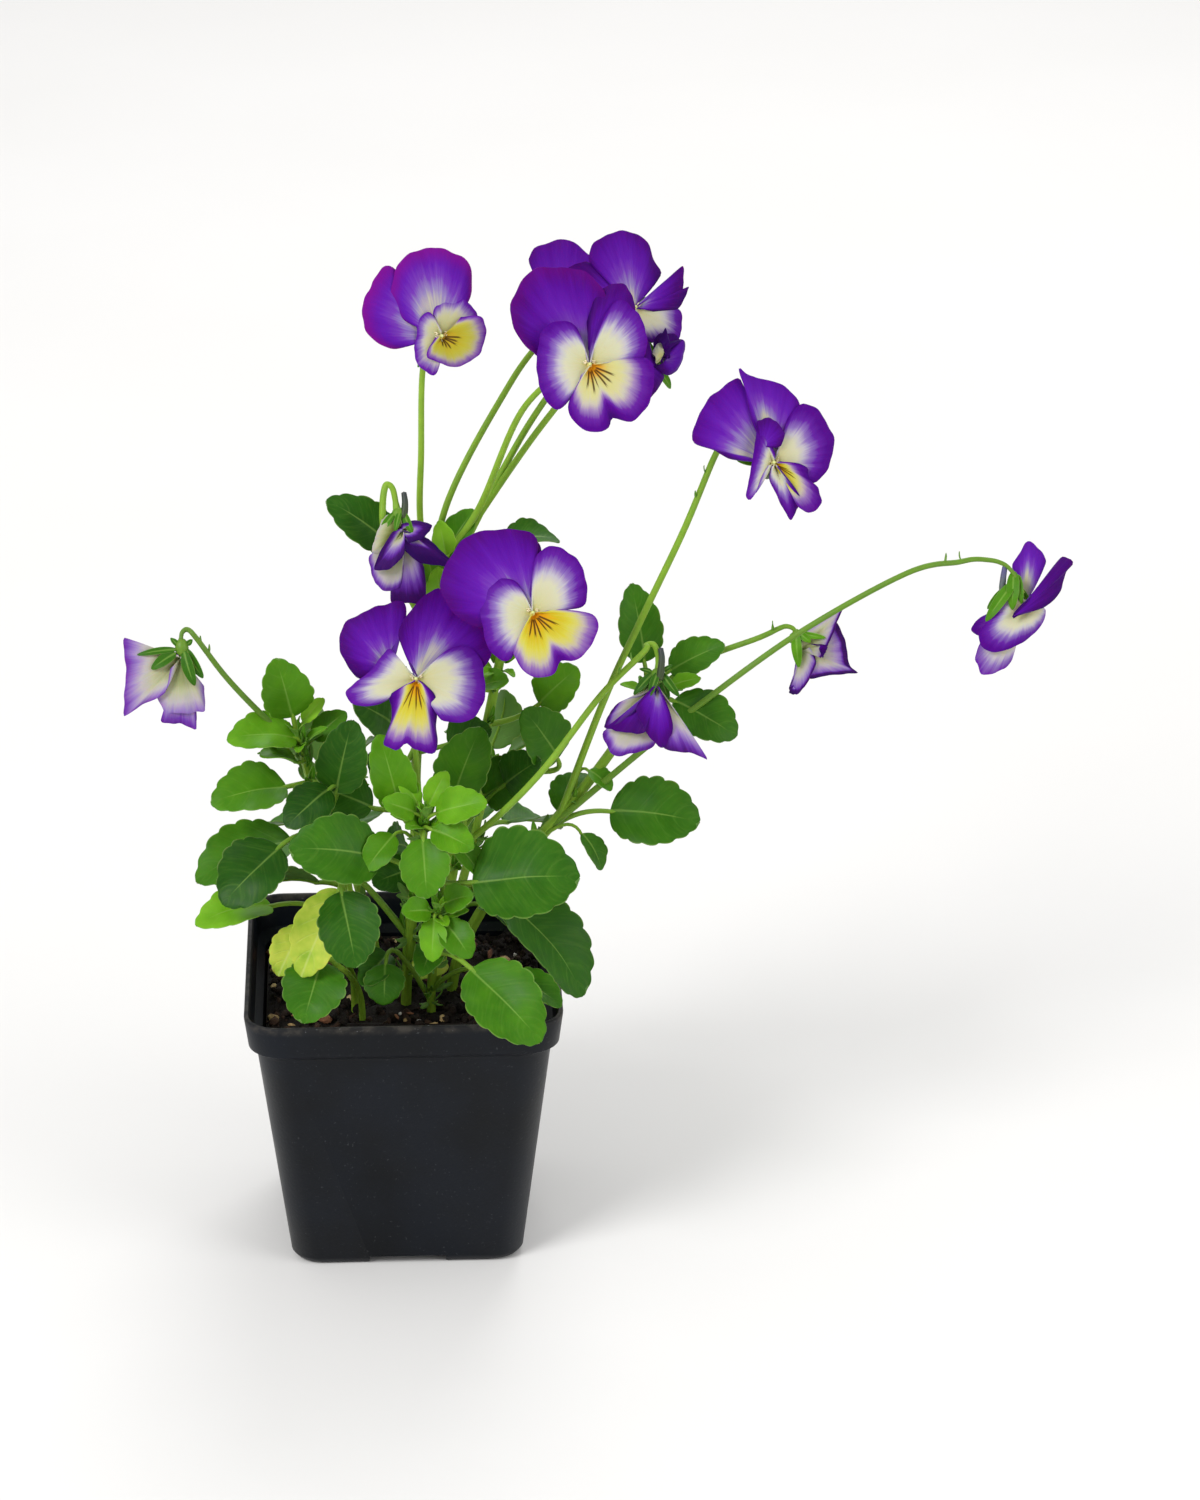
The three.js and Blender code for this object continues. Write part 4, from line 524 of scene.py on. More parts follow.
def smooth(start, end, x):
    """0 before the start and 1 beyond the end, with a soft rise between them."""
    t = np.clip((x - start) / (end - start), 0, 1)
    return t * t * (3 - 2 * t)


def bell(x, middle, width):
    """1 at the middle, falling to 0 on both sides."""
    return np.exp(-(((x - middle) / width) ** 2))


def padded(points):
    """The points of a curve, with one more guessed beyond each end."""
    p = np.asarray(points, float)
    return np.vstack([2 * p[0] - p[1], p, 2 * p[-1] - p[-2]])


def curve_at(points, places):
    """Points on a uniform Catmull-Rom curve, at places counted in its own points."""
    p = padded(points)
    s = np.atleast_1d(places)
    i = np.minimum(s.astype(int), len(p) - 4)
    t = (s - i)[:, None]
    a, b, c, d = p[i], p[i + 1], p[i + 2], p[i + 3]
    return 0.5 * (2 * b + (c - a) * t + (2 * a - 5 * b + 4 * c - d) * t**2 + (3 * b - a - 3 * c + d) * t**3)


def spline(points, count):
    """Points spread along a uniform Catmull-Rom curve."""
    return curve_at(points, np.linspace(0, len(points) - 1, count))


def stem_point(shoot, place):
    """A point on a shoot's stem, from 0 at the root to 1 at the tip."""
    return curve_at(shoot["stem"], place * (len(shoot["stem"]) - 1))[0]


def shown(name, data):
    """A new object in the scene."""
    thing = bpy.data.objects.new(name, data)
    bpy.context.scene.collection.objects.link(thing)
    return thing


def placed(thing, node):
    """Hide the CAD part of the node a piece stands for, and let the piece ride on the one body."""
    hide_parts(node)
    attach(thing, "root")


def dressed(mesh, materials, slots, angle):
    """Give a mesh its materials, and smooth shading except at edges sharper than the angle."""
    mesh.materials.clear()
    for material in materials:
        mesh.materials.append(material)
    mesh.polygons.foreach_set("material_index", slots)
    mesh.polygons.foreach_set("use_smooth", [True] * len(mesh.polygons))
    mesh.set_sharp_from_angle(angle=math.radians(angle))
    mesh.update()


class Piece:
    """Gathers closed surfaces in millimetres and makes one mesh object of them."""

    def __init__(self, name, materials):
        self.name = name
        self.materials = materials
        self.points, self.faces, self.slots = [], [], []
        self.layers = {"mark": [], "tone": [], "paint": []}
        self.count = 0

    def add(self, points, faces, mark=(0, 0, 0), tone=(0, 0, 0), paint=(0, 0, 0), slot=0):
        """Take up a surface. Mark, tone and paint are three values, for all its points or for each."""
        points = np.asarray(points, float).reshape(-1, 3)
        self.points.append(points)
        for name, values in (("mark", mark), ("tone", tone), ("paint", paint)):
            self.layers[name].append(np.broadcast_to(np.asarray(values, float), points.shape))
        self.faces.extend(tuple(v + self.count for v in f) for f in faces)
        self.slots.extend([slot] * len(faces))
        self.count += len(points)

    def make(self, node, slot, angle=50):
        mesh = bpy.data.meshes.new(self.name)
        mesh.from_pydata((np.concatenate(self.points) * MM).tolist(), [], self.faces)
        for name, values in self.layers.items():
            layer = mesh.attributes.new(name, "FLOAT_VECTOR", "POINT")
            layer.data.foreach_set("vector", np.concatenate(values).astype(np.float32).ravel())
        dressed(mesh, self.materials, self.slots, angle)
        placed(shown(self.name, mesh), node)


def sheet(grid, half, away):
    """A thin closed body on both sides of a grid of points: its points and its faces."""
    n, m = grid.shape[:2]
    normals = np.cross(np.gradient(grid, axis=0), np.gradient(grid, axis=1))
    flip = (normals @ np.asarray(away, float)).mean() < 0
    offset = unit(-normals if flip else normals) * np.broadcast_to(half, (n, m))[..., None]
    points = np.concatenate([(grid + offset).reshape(-1, 3), (grid - offset).reshape(-1, 3)])
    low = n * m
    faces = []
    for i in range(n - 1):
        for a in range(i * m, i * m + m - 1):
            faces.append((a, a + m, a + m + 1, a + 1))
            faces.append((low + a + 1, low + a + m + 1, low + a + m, low + a))
    for a in range(0, (n - 1) * m, m):
        b = a + m - 1
        faces.append((a + m, a, low + a, low + a + m))
        faces.append((b, b + m, low + b + m, low + b))
    for a in range(m - 1):
        b = (n - 1) * m + a
        faces.append((a, a + 1, low + a + 1, low + a))
        faces.append((b + 1, b, low + b, low + b + 1))
    return points, [f[::-1] for f in faces] if flip else faces


def ring_faces(rings, n):
    """The faces between rings of n points each."""
    faces = []
    for k in range(rings - 1):
        for i in range(n):
            j = (i + 1) % n
            faces.append((k * n + i, k * n + j, (k + 1) * n + j, (k + 1) * n + i))
    return faces


def loft(rings):
    """A closed body through a stack of rings from the lowest to the highest."""
    n = len(rings[0])
    last = (len(rings) - 1) * n
    caps = [tuple(range(n - 1, -1, -1)), tuple(range(last, last + n))]
    return np.concatenate(rings), ring_faces(len(rings), n) + caps


def tube(points, radii, sides=8, ridges=0.0):
    """A closed tube along points with a radius at each, with optional lengthwise ridges."""
    points = np.asarray(points, float)
    n = len(points)
    radii = np.broadcast_to(np.asarray(radii, float), (n,))
    tangents = unit(np.gradient(points, axis=0))
    a = unit(np.cross(tangents[0], [0.3, 0.9, 0.31]))
    turn = np.arange(sides) * 2 * math.pi / sides
    swell = 1 + ridges * np.cos(4 * turn)
    rings = []
    for i in range(n):
        a = unit(a - tangents[i] * (a @ tangents[i]))
        b = np.cross(tangents[i], a)
        ring = np.outer(np.cos(turn) * swell, a) + np.outer(np.sin(turn) * swell, b)
        rings.append(points[i] + radii[i] * ring)
    faces = ring_faces(n, sides)
    first = n * sides
    for j in range(sides):
        k = (j + 1) % sides
        faces.append((first, k, j))
        faces.append((first + 1, first - sides + j, first - sides + k))
    ends = [points[0] - tangents[0] * radii[0] * 0.5, points[-1] + tangents[-1] * radii[-1] * 0.5]
    along = np.append(np.repeat(np.linspace(0, 1, n), sides), [0, 1])
    mark = np.column_stack([along, np.append(np.tile(turn, n), [0, 0]), 0 * along])
    return np.concatenate(rings + [np.array(ends)]), faces, mark


def icosphere(level):
    """Points on the unit sphere and their triangles, from an icosahedron split a few times."""
    g = (1 + 5**0.5) / 2
    points = [(-1, g, 0), (1, g, 0), (-1, -g, 0), (1, -g, 0), (0, -1, g), (0, 1, g),
              (0, -1, -g), (0, 1, -g), (g, 0, -1), (g, 0, 1), (-g, 0, -1), (-g, 0, 1)]
    faces = [(0, 11, 5), (0, 5, 1), (0, 1, 7), (0, 7, 10), (0, 10, 11), (1, 5, 9), (5, 11, 4),
             (11, 10, 2), (10, 7, 6), (7, 1, 8), (3, 9, 4), (3, 4, 2), (3, 2, 6), (3, 6, 8),
             (3, 8, 9), (4, 9, 5), (2, 4, 11), (6, 2, 10), (8, 6, 7), (9, 8, 1)]
    for _ in range(level):
        middles, finer = {}, []

        def middle(a, b):
            key = (min(a, b), max(a, b))
            if key not in middles:
                middles[key] = len(points)
                points.append(tuple((np.array(points[a]) + np.array(points[b])) / 2))
            return middles[key]

        for a, b, c in faces:
            ab, bc, ca = middle(a, b), middle(b, c), middle(c, a)
            finer += [(a, ab, ca), (b, bc, ab), (c, ca, bc), (ab, bc, ca)]
        faces = finer
    return unit(points), faces


BALLS = {level: icosphere(level) for level in (1, 2)}


def lump(piece, centre, radii, rng, level, rough, axes, tone, slot=0):
    """An uneven rounded body with its radii along three axes."""
    points, faces = BALLS[level]
    points = points * (1 + rough * (rng.random((len(points), 1)) - 0.5) * 2)
    points = points * np.asarray(radii, float) @ np.asarray(axes, float)
    piece.add(points + np.asarray(centre, float), faces, tone=tone, slot=slot)


def random_axes(rng):
    """A random set of three perpendicular directions."""
    q, _ = np.linalg.qr(rng.normal(size=(3, 3)))
    return q


def level_way(turn):
    """The level direction at an angle from +X."""
    return np.array([math.cos(turn), math.sin(turn), 0.0])


def waves(x, y, rng, count=5, low=0.6, high=2.2):
    """Smooth unevenness between about -1 and 1."""
    total = np.zeros(np.broadcast(x, y).shape)
    for _ in range(count):
        size = rng.uniform(low, high)
        turn, phase = rng.uniform(0, 2 * math.pi, 2)
        total += np.sin(size * (math.cos(turn) * x + math.sin(turn) * y) + phase)
    return total / count * 1.6


# ---------------------------------------------------------------- materials


def linear(code):
    """The scene's colour for a screen colour such as "5a0fa0"."""
    parts = [int(code[i:i + 2], 16) / 255 for i in (0, 2, 4)]
    return (*[c / 12.92 if c <= 0.04045 else ((c + 0.055) / 1.055) ** 2.4 for c in parts], 1)


class Look:
    """A material whose nodes are built step by step."""

    def __init__(self, name, specular, **settings):
        self.material = bpy.data.materials.new(name)
        self.material.use_nodes = True
        self.tree = self.material.node_tree
        self.shader = self.tree.nodes["Principled BSDF"]
        self.shader.inputs["Specular IOR Level"].default_value = specular
        for key, value in settings.items():
            self.shader.inputs[key.replace("_", " ").title()].default_value = value

    def node(self, kind, inputs=(), **settings):
        node = self.tree.nodes.new("ShaderNode" + kind)
        for key, value in settings.items():
            setattr(node, key, value)
        for key, value in dict(inputs).items():
            self.put(node.inputs[key], value)
        return node

    def put(self, socket, value):
        """Link a node's output, or set a number or a screen colour."""
        if isinstance(value, bpy.types.NodeSocket):
            self.tree.links.new(value, socket)
        elif isinstance(value, str):
            socket.default_value = linear(value)
        else:
            socket.default_value = value

    def math(self, operation, *values):
        return self.node("Math", enumerate(values), operation=operation).outputs[0]

    def size(self, value):
        """A value without its sign."""
        return self.math("ABSOLUTE", value)

    def add(self, a, b):
        return self.math("ADD", a, b)

    def less(self, a, b):
        return self.math("SUBTRACT", a, b)

    def times(self, a, *more):
        for b in more:
            a = self.math("MULTIPLY", a, b)
        return a

    def sway(self, value, noise, amount):
        """A value moved to and fro by a noise about 0.5."""
        return self.add(value, self.times(self.less(noise, 0.5), amount))

    def range(self, value, from_min, from_max, to_min=0.0, to_max=1.0):
        inputs = {0: value, 1: from_min, 2: from_max, 3: to_min, 4: to_max}
        return self.node("MapRange", inputs, interpolation_type="SMOOTHSTEP").outputs[0]

    def ramp(self, value, stops):
        """The colour at a value between stops given as places and screen colours."""
        node = self.node("ValToRGB", {0: value})
        elements = node.color_ramp.elements
        while len(elements) < len(stops):
            elements.new(1)
        for element, (place, colour) in zip(elements, stops):
            element.position = place
            element.color = linear(colour)
        return node.outputs[0]

    def mix(self, share, a, b, kind="MIX"):
        node = self.node("Mix", data_type="RGBA", blend_type=kind)
        sockets = [s for s in node.inputs if s.enabled]
        for socket, value in zip(sockets, (share, a, b)):
            self.put(socket, value)
        return next(s for s in node.outputs if s.enabled)

    def noise(self, vector, scale, detail=3, rough=0.5):
        inputs = {"Vector": vector, "Scale": scale, "Detail": detail, "Roughness": rough}
        return self.node("TexNoise", inputs).outputs[0]

    def place(self):
        """Position in metres, the same in every pose and view."""
        return self.node("TexCoord").outputs["Object"]

    def split(self, vector):
        return self.node("SeparateXYZ", {0: vector}).outputs

    def marks(self, name):
        """The three values that a piece's points carry under a name."""
        return self.split(self.node("Attribute", attribute_name=name).outputs["Vector"])

    def vector(self, x, y=0.0, z=0.0):
        return self.node("CombineXYZ", {0: x, 1: y, 2: z}).outputs[0]

    def veins(self, u, w, width):
        """For a leaf: distance from the midrib, place from side vein to side vein, and how one shows."""
        across = self.size(w)
        vein = self.less(u, self.times(self.math("POWER", across, 1.2), 0.3))
        off = self.size(self.less(self.math("FRACT", self.times(vein, SIDE_VEINS)), 0.5))
        return across, vein, self.times(self.range(off, width, 0.0), self.range(across, 0.9, 0.55))

    def finish(self, colour, roughness, height, distance, strength):
        """Set colour, roughness and a bump whose distance is in metres; returns the material."""
        bump = self.node("Bump", {"Height": height, "Distance": distance, "Strength": strength})
        self.put(self.shader.inputs["Base Color"], colour)
        self.put(self.shader.inputs["Roughness"], roughness)
        self.put(self.shader.inputs["Normal"], bump.outputs[0])
        return self.material


def leaf_look():
    """Darker or brighter by tone, which is partly the leaf's age and partly painted shade and painted glow,
    with pale veins and a paler underside.
    """
    look = Look("leaf", 0.15, subsurface_weight=0.1, subsurface_scale=0.001)
    u, w, y = look.marks("mark")
    tone, chance, side = look.marks("tone")
    place = look.place()
    patches = look.noise(place, 160, 3)
    # The green follows the tone: partly the leaf's age, partly painted shade among the foliage and a painted
    # glow of light through young leaves.
    base = look.ramp(look.sway(tone, patches, 0.3), [
        (0.0, "1b4708"), (0.2, "285a08"), (0.4, "386e09"), (0.6, "4f880c"), (0.8, "6da81a"), (1.0, "8fc52e"),
    ])
    across, vein, lateral = look.veins(u, w, 0.08)
    fine = look.noise(look.vector(look.times(vein, 26.0), look.times(w, 2.2), chance), 1, 2)
    rib = look.range(look.size(y), look.times(look.less(1.15, u), 0.55), 0.05)
    rib = look.times(rib, look.range(u, 0.92, 0.6))
    base = look.mix(look.times(look.range(fine, 0.45, 0.7), 0.07), base, "7ca63c")
    base = look.mix(look.times(lateral, 0.05), base, "86b050")
    base = look.mix(look.times(rib, 0.32), base, "98bc58")
    base = look.mix(look.times(look.range(across, 0.955, 0.99), 0.18), base, "a8cc68")
    under = look.mix(0.4, base, "7a9a58")
    height = look.add(look.times(lateral, -0.4), look.times(fine, 0.25))
    height = look.add(height, look.times(rib, -0.6))
    height = look.add(height, look.times(look.noise(place, 900, 2), 0.5))
    rough = look.range(patches, 0.3, 0.7, 0.4, 0.55)
    return look.finish(look.mix(side, base, under), rough, height, 0.00012, 0.35)


def old_leaf_look():
    """Yellow-green and blotched, brown at the tip."""
    look = Look("old_leaf", 0.2, subsurface_weight=0.12, subsurface_scale=0.001)
    u, w, y = look.marks("mark")
    place = look.place()
    patches = look.noise(place, 130, 4)
    base = look.ramp(patches, [(0.3, "7fa82c"), (0.45, "a2bc3c"), (0.6, "bcca4c"), (0.75, "a6bc40")])
    _, _, lateral = look.veins(u, w, 0.1)
    rib = look.range(look.size(y), 0.5, 0.05)
    base = look.mix(look.times(look.math("MAXIMUM", look.times(lateral, 0.35), rib), 0.35), base, "ccd684")
    brown = look.sway(u, look.noise(place, 300, 3), 0.35)
    base = look.mix(look.range(brown, 0.96, 1.06, 0.0, 0.7), base, "8a6a2c")
    height = look.less(look.noise(place, 800, 2), lateral)
    return look.finish(base, look.range(patches, 0.3, 0.7, 0.45, 0.6), height, 0.0002, 0.4)


def stem_look():
    """Green with paler lengthwise streaks."""
    look = Look("stem", 0.22, subsurface_weight=0.15, subsurface_scale=0.001)
    u, turn, _ = look.marks("mark")
    tone, _, _ = look.marks("tone")
    patches = look.noise(look.place(), 220, 3)
    stops = [(0.0, "3f6a12"), (0.35, "56840f"), (0.7, "79a31c"), (1.0, "98bc34")]
    base = look.ramp(look.sway(tone, patches, 0.4), stops)
    ribs = look.noise(look.vector(look.times(u, 2.0), look.times(turn, 1.5)), 2.5, 2)
    base = look.mix(look.times(ribs, 0.3), base, "a4be62")
    return look.finish(base, look.range(patches, 0.3, 0.7, 0.38, 0.55), ribs, 0.0002, 0.5)


def petal_look(name, stops, streak, spread, whiskers=()):
    """Colour runs from the throat to the edge, with streaks along the veins and dark whiskers."""
    look = Look(name, 0.06, subsurface_weight=0.1, subsurface_scale=0.0012,
                sheen_weight=0.02, sheen_roughness=0.4)
    rho, phi, length = look.marks("mark")
    shift, chance, side = look.marks("tone")
    magenta, warm, pale = look.marks("paint")
    wide = look.size(phi)
    seed = look.times(chance, 37.0)
    fan = look.noise(look.vector(look.times(phi, 9.0), look.times(rho, 1.2), seed), 1.0, 4, 0.6)
    hair = look.noise(look.vector(look.times(phi, 40.0), look.times(rho, 1.6), seed), 1, 3, 0.6)
    t = look.sway(look.sway(rho, fan, streak), hair, streak * 0.5)
    t = look.add(t, look.times(look.math("POWER", wide, 2.0), spread))
    t = look.add(t, look.times(shift, look.range(rho, 0.12, 0.5)))
    base = look.ramp(t, stops)
    base = look.mix(look.times(look.range(t, 1.0, 1.35), 0.6), base, "1c0046")
    base = look.mix(look.times(look.range(hair, 0.5, 0.75), 0.1), base, "5a30a0", "SCREEN")
    base = look.mix(look.times(magenta, look.range(rho, 0.78, 1.02)), base, "780a80")
    base = look.mix(look.times(warm, look.range(t, 0.85, 0.45)), base, "96902c")
    cream = look.times(look.range(t, 0.88, 0.55), look.range(t, 0.1, 0.4))
    base = look.mix(look.times(pale, cream), base, "c4c4b0")
    if whiskers:
        lines = 0.0
        for place in whiskers:
            off = look.times(look.size(look.less(wide, place)), rho, length)
            lines = look.math("MAXIMUM", lines, look.range(off, 0.3, 0.1))
        inner, outer = WHISKER_REACH
        lines = look.times(lines, look.range(look.sway(rho, hair, 0.35), outer, outer * 0.8))
        lines = look.times(lines, look.range(rho, inner * 0.7, inner))
        base = look.mix(look.times(lines, 0.9), base, "3a2210")
    back = look.mix(0.12, base, "7c6ca4")
    height = look.add(hair, look.times(look.noise(look.place(), 1500, 2), 0.5))
    rough = look.range(fan, 0.3, 0.7, 0.5, 0.62)
    return look.finish(look.mix(side, base, back), rough, height, 0.00015, 0.5)


def throat_look():
    """Green, yellow or white by tone."""
    look = Look("throat", 0.4)
    tone, _, _ = look.marks("tone")
    base = look.ramp(tone, [(0.0, "6f9a3a"), (0.35, "c6d67a"), (0.7, "f2c23a"), (1.0, "f6f2e2")])
    speck = look.noise(look.place(), 2500, 2)
    return look.finish(look.mix(look.times(speck, 0.2), base, "ffffff"), 0.5, speck, 0.0001, 0.4)


def spur_look():
    """Green at the root and grey-violet at the end, or dark by tone."""
    look = Look("spur", 0.35, subsurface_weight=0.1, subsurface_scale=0.001)
    u, _, _ = look.marks("mark")
    dark, _, _ = look.marks("tone")
    place = look.place()
    along = look.add(u, look.times(look.noise(place, 700, 3), 0.3))
    base = look.ramp(along, [(0.1, "5c6c3c"), (0.6, "566058"), (1.1, "54507c")])
    return look.finish(look.mix(dark, base, "26340f"), 0.5, look.noise(place, 2000, 2), 0.0001, 0.4)


def pot_look():
    """Black plastic, dusty and more so on the top of the rim."""
    look = Look("pot_plastic", 0.2)
    place = look.place()
    cloud = look.noise(place, 35, 4)
    base = look.mix(look.range(cloud, 0.32, 0.68), "03060b", "0a1019")
    specks = look.range(look.noise(place, 900, 4, 0.7), 0.62, 0.72)
    rim = look.range(look.split(place)[2], 0.0792, 0.0815)
    base = look.mix(look.times(specks, look.range(rim, 0.0, 1.0, 0.1, 0.5)), base, "8a8d90")
    worn = look.range(look.noise(place, 300, 3), 0.4, 0.7, 0.1, 0.5)
    base = look.mix(look.times(rim, worn), base, "504b43")
    rough = look.add(look.range(cloud, 0.3, 0.7, 0.36, 0.46), look.times(rim, 0.15))
    return look.finish(base, rough, look.noise(place, 1200, 3), 0.00008, 0.5)


def soil_look():
    """Dark brown, darker or lighter by tone."""
    look = Look("soil_mix", 0.25)
    tone, _, _ = look.marks("tone")
    place = look.place()
    grain = look.noise(place, 700, 5, 0.65)
    stops = [(0.0, "0d0907"), (0.3, "18110c"), (0.55, "281c14"), (0.75, "3c2a1e"), (1.0, "5c432e")]
    base = look.ramp(look.sway(tone, grain, 0.5), stops)
    height = look.add(grain, look.noise(place, 2500, 3))
    return look.finish(base, look.range(grain, 0.3, 0.7, 0.75, 0.95), height, 0.0006, 0.9)


def grit_look(name, stops, scale, rough):
    """Mottled, with each grain shifted along the colours by chance."""
    look = Look(name, 0.3)
    _, chance, _ = look.marks("tone")
    place = look.place()
    grain = look.noise(place, scale, 4, 0.6)
    return look.finish(look.ramp(look.sway(grain, chance, 0.35), stops), rough,
                       look.noise(place, scale * 2.5, 4), 0.0004, 0.8)


def floor_look():
    look = Look("floor", 0.2)
    place = look.place()
    colour = look.mix(look.noise(place, 4, 3), "e4e3e1", "eae9e8")
    return look.finish(colour, 0.75, look.noise(place, 400, 3), 0.0002, 0.15)


LEAF_LOOK = leaf_look()
OLD_LEAF_LOOK = old_leaf_look()
STEM_LOOK = stem_look()
# In the order of the slots UPPER, SIDE, LOWER, THROAT, SPUR and FADED.
FLOWER_LOOKS = [
    petal_look("petal_upper", [
        (0.0, "bcbe90"), (0.14, "b6b2a0"), (0.27, "8c7cae"), (0.42, "6e38a6"), (0.58, "5c189e"),
        (0.8, "50088c"), (1.0, "42006c"),
    ], 0.4, 0.3),
    petal_look("petal_side", [
        (0.0, "beb860"), (0.14, "c2bf8c"), (0.48, "c4c3a6"), (0.6, "b4afb8"), (0.72, "8266aa"),
        (0.85, "5c1e94"), (1.0, "4a0280"),
    ], 0.26, 0.04),
    petal_look("petal_lower", [
        (0.0, "d68404"), (0.18, "d0960a"), (0.28, "c0ac20"), (0.42, "c4bb40"), (0.54, "c2bc68"),
        (0.64, "b4aa9c"), (0.74, "8a68a8"), (0.87, "602094"), (1.0, "4c0282"),
    ], 0.2, 0.03, WHISKERS),
    throat_look(),
    spur_look(),
    petal_look("petal_faded", [
        (0.0, "727f3e"), (0.16, "8c935e"), (0.36, "acad8c"), (0.55, "ada6aa"), (0.7, "9078b0"),
        (0.84, "66389c"), (0.93, "4e1a80"), (1.0, "380e5c"),
    ], 0.26, 0.04),
]
POT_LOOK = pot_look()
EARTH_LOOK = soil_look()
STONE_LOOK = grit_look("pebble", [(0.3, "8a7048"), (0.5, "b79a68"), (0.7, "d2b988")], 500, 0.7)
BARK_LOOK = grit_look("bark", [(0.3, "3a2016"), (0.5, "64402c"), (0.7, "8a5c40")], 450, 0.85)
PERLITE_LOOK = grit_look("perlite", [(0.3, "b8b4aa"), (0.5, "d6d3ca"), (0.7, "efede6")], 900, 0.8)

# ---------------------------------------------------------------- leaves

# Shares of a blade's length or width, but for half its thickness and the gutter over its midrib, which
# are millimetres, and "widest" and "fullness", which are powers that shape its outline.
BLADE = {
    "half": 0.22, "tooth": 0.08, "widest": 0.86, "fullness": 0.5, "heart": 0.45, "arch": 0.1, "cup": 0.16,
    "edge_wave": 0.025, "swell": 0.02, "sway": 0.02, "groove": 0.002, "gutter": 0.35,
}
# Smaller blades: their mesh, how strongly they are toothed and waved, slot 1 for a leaf look on a stem.
SEPAL = {"rows": 17, "columns": 7, "fine": 0.2, "teeth": 1, "slot": 1, "half": 0.2}
SEEN_SEPAL = {**SEPAL, "fine": 0.25}
LOBE = {**SEPAL, "rows": 9, "columns": 5}
BRACT = {**LOBE, "half": 0.15}
STIPULE = {**LOBE, "fine": 0.3, "teeth": 3, "half": 0.16}
YOUNG = {"rows": 40, "columns": 9, "teeth": 4, "half": 0.18}
YOUNGEST = {"rows": 17, "columns": 9, "fine": 0.8, "teeth": 3, "half": 0.18}
# A leaf stalk's radius as a share of its blade's width, the limits to it, and the steps along it.
LEAF_STALK = {"share": 0.055, "thinnest": 0.5, "thickest": 0.8, "step": 1.5}
# The turn from one young leaf to the next, about the golden angle.
NEXT_LEAF = 2.4


def two_sided(marks, tone, chance):
    """Marks and tones for both sides of a sheet; the last tone is 0 in front and 1 behind."""
    front = np.stack(np.broadcast_arrays(*marks, tone, chance), axis=-1).reshape(-1, 5)
    both = np.concatenate([front, front])
    return both[:, :3], np.column_stack([both[:, 3:], np.repeat([0, 1], len(front))])


def blade(piece, base, tip, width, face, tone, rng,
          rows=72, columns=19, fine=1.0, teeth=None, slot=0, half=BLADE["half"]):
    """A toothed leaf blade from its base to its tip; returns the line of the rib under it."""
    base, tip = np.asarray(base, float), np.asarray(tip, float)
    length = np.linalg.norm(tip - base)
    along = (tip - base) / length
    side = unit(np.cross(face, along))
    normal = np.cross(along, side)
    q = np.linspace(0.012, 0.988, rows)[:, None]
    w = np.sin(np.linspace(-0.5, 0.5, columns) * math.pi)[None, :]
    across = np.abs(w)
    u = 0.5 - 0.5 * np.cos(math.pi * q)
    spread = np.sin(math.pi * u ** BLADE["widest"]) ** BLADE["fullness"]
    if teeth is None:
        teeth = 8 if width >= 17 else 7 if width >= 11 else 5
    bite = np.zeros((rows, columns))
    for sign in (-1, 1):
        swing = np.clip(q * teeth + 0.5 + 0.12 * sign, 0, None)
        part = np.sin(math.pi * np.mod(swing, 1) ** 1.35)
        bite = np.where(w * sign > 0, BLADE["tooth"] * fine * (1 - np.abs(part) ** 0.6), bite)
    bite = bite * across**8 * smooth(0.12, 0.3, q) * smooth(1.0, 0.95, q)
    heart = BLADE["heart"] * length
    x = heart + (1 - bite) * (u * length - heart)
    y = w * 0.5 * width * spread * (1 - bite)
    height = BLADE["arch"] * length * 4 * u * (1 - u) + BLADE["cup"] * width * (2 * y / width) ** 2
    phase = rng.uniform(0, ANY_ANGLE, 3)
    edge_wave = across**3 * np.sin(rng.uniform(7, 12) * u + phase[0] + 2 * (w > 0))
    height = height + fine * BLADE["edge_wave"] * width * edge_wave
    height = height + fine * BLADE["swell"] * width * waves(x * 7 / length, y * 7 / length, rng)
    height = height - fine * BLADE["gutter"] * bell(y, 0, 0.7) * smooth(0.95, 0.5, u)
    groove = bell(np.mod((u - 0.3 * across**1.2) * 6, 1), 0.5, 0.13) * smooth(0.95, 0.6, across)
    height = height - fine * BLADE["groove"] * width * groove
    y = y + fine * BLADE["sway"] * width * np.sin(3 * u + phase[1])
    grid = base + x[..., None] * along + y[..., None] * side + height[..., None] * normal
    points, faces = sheet(grid, half * (1 - 0.55 * across**8), normal)
    piece.add(points, faces, *two_sided((u, w, y), tone, rng.random()), slot=slot)
    return grid[:, columns // 2] - normal * 0.3


def leaf(green, blades, shoot, row, rng):
    """A leaf with its stalk and the rib under its blade; returns the stalk's root and the leaf's way."""
    place, base, tip, width, face, tone = row
    root = stem_point(shoot, place)
    base, tip = np.asarray(base, float), np.asarray(tip, float)
    along = unit(tip - base)
    midrib = blade(blades, base, tip, width, face, tone, rng)
    reach = np.linalg.norm(base - root)
    count = int(np.clip(reach / LEAF_STALK["step"], 5, 14))
    t = np.linspace(0, 1, count)[:, None]
    stalk = (1 - t) ** 2 * root + 2 * t * (1 - t) * (base - along * 0.5 * reach) + t**2 * midrib[9]
    rib = midrib[12:60:6]
    radius = np.clip(LEAF_STALK["share"] * width, LEAF_STALK["thinnest"], LEAF_STALK["thickest"])
    radii = [*np.linspace(radius * 1.25, radius * 0.85, count), *np.linspace(radius * 0.6, 0.15, len(rib))]
    # The stalk's tone follows the leaf's, and with it part of that tone's painted shade and painted glow.
    green.add(*tube(np.vstack([stalk, rib]), radii), (0.35 + 0.4 * tone, rng.random(), 0))
    return root, along


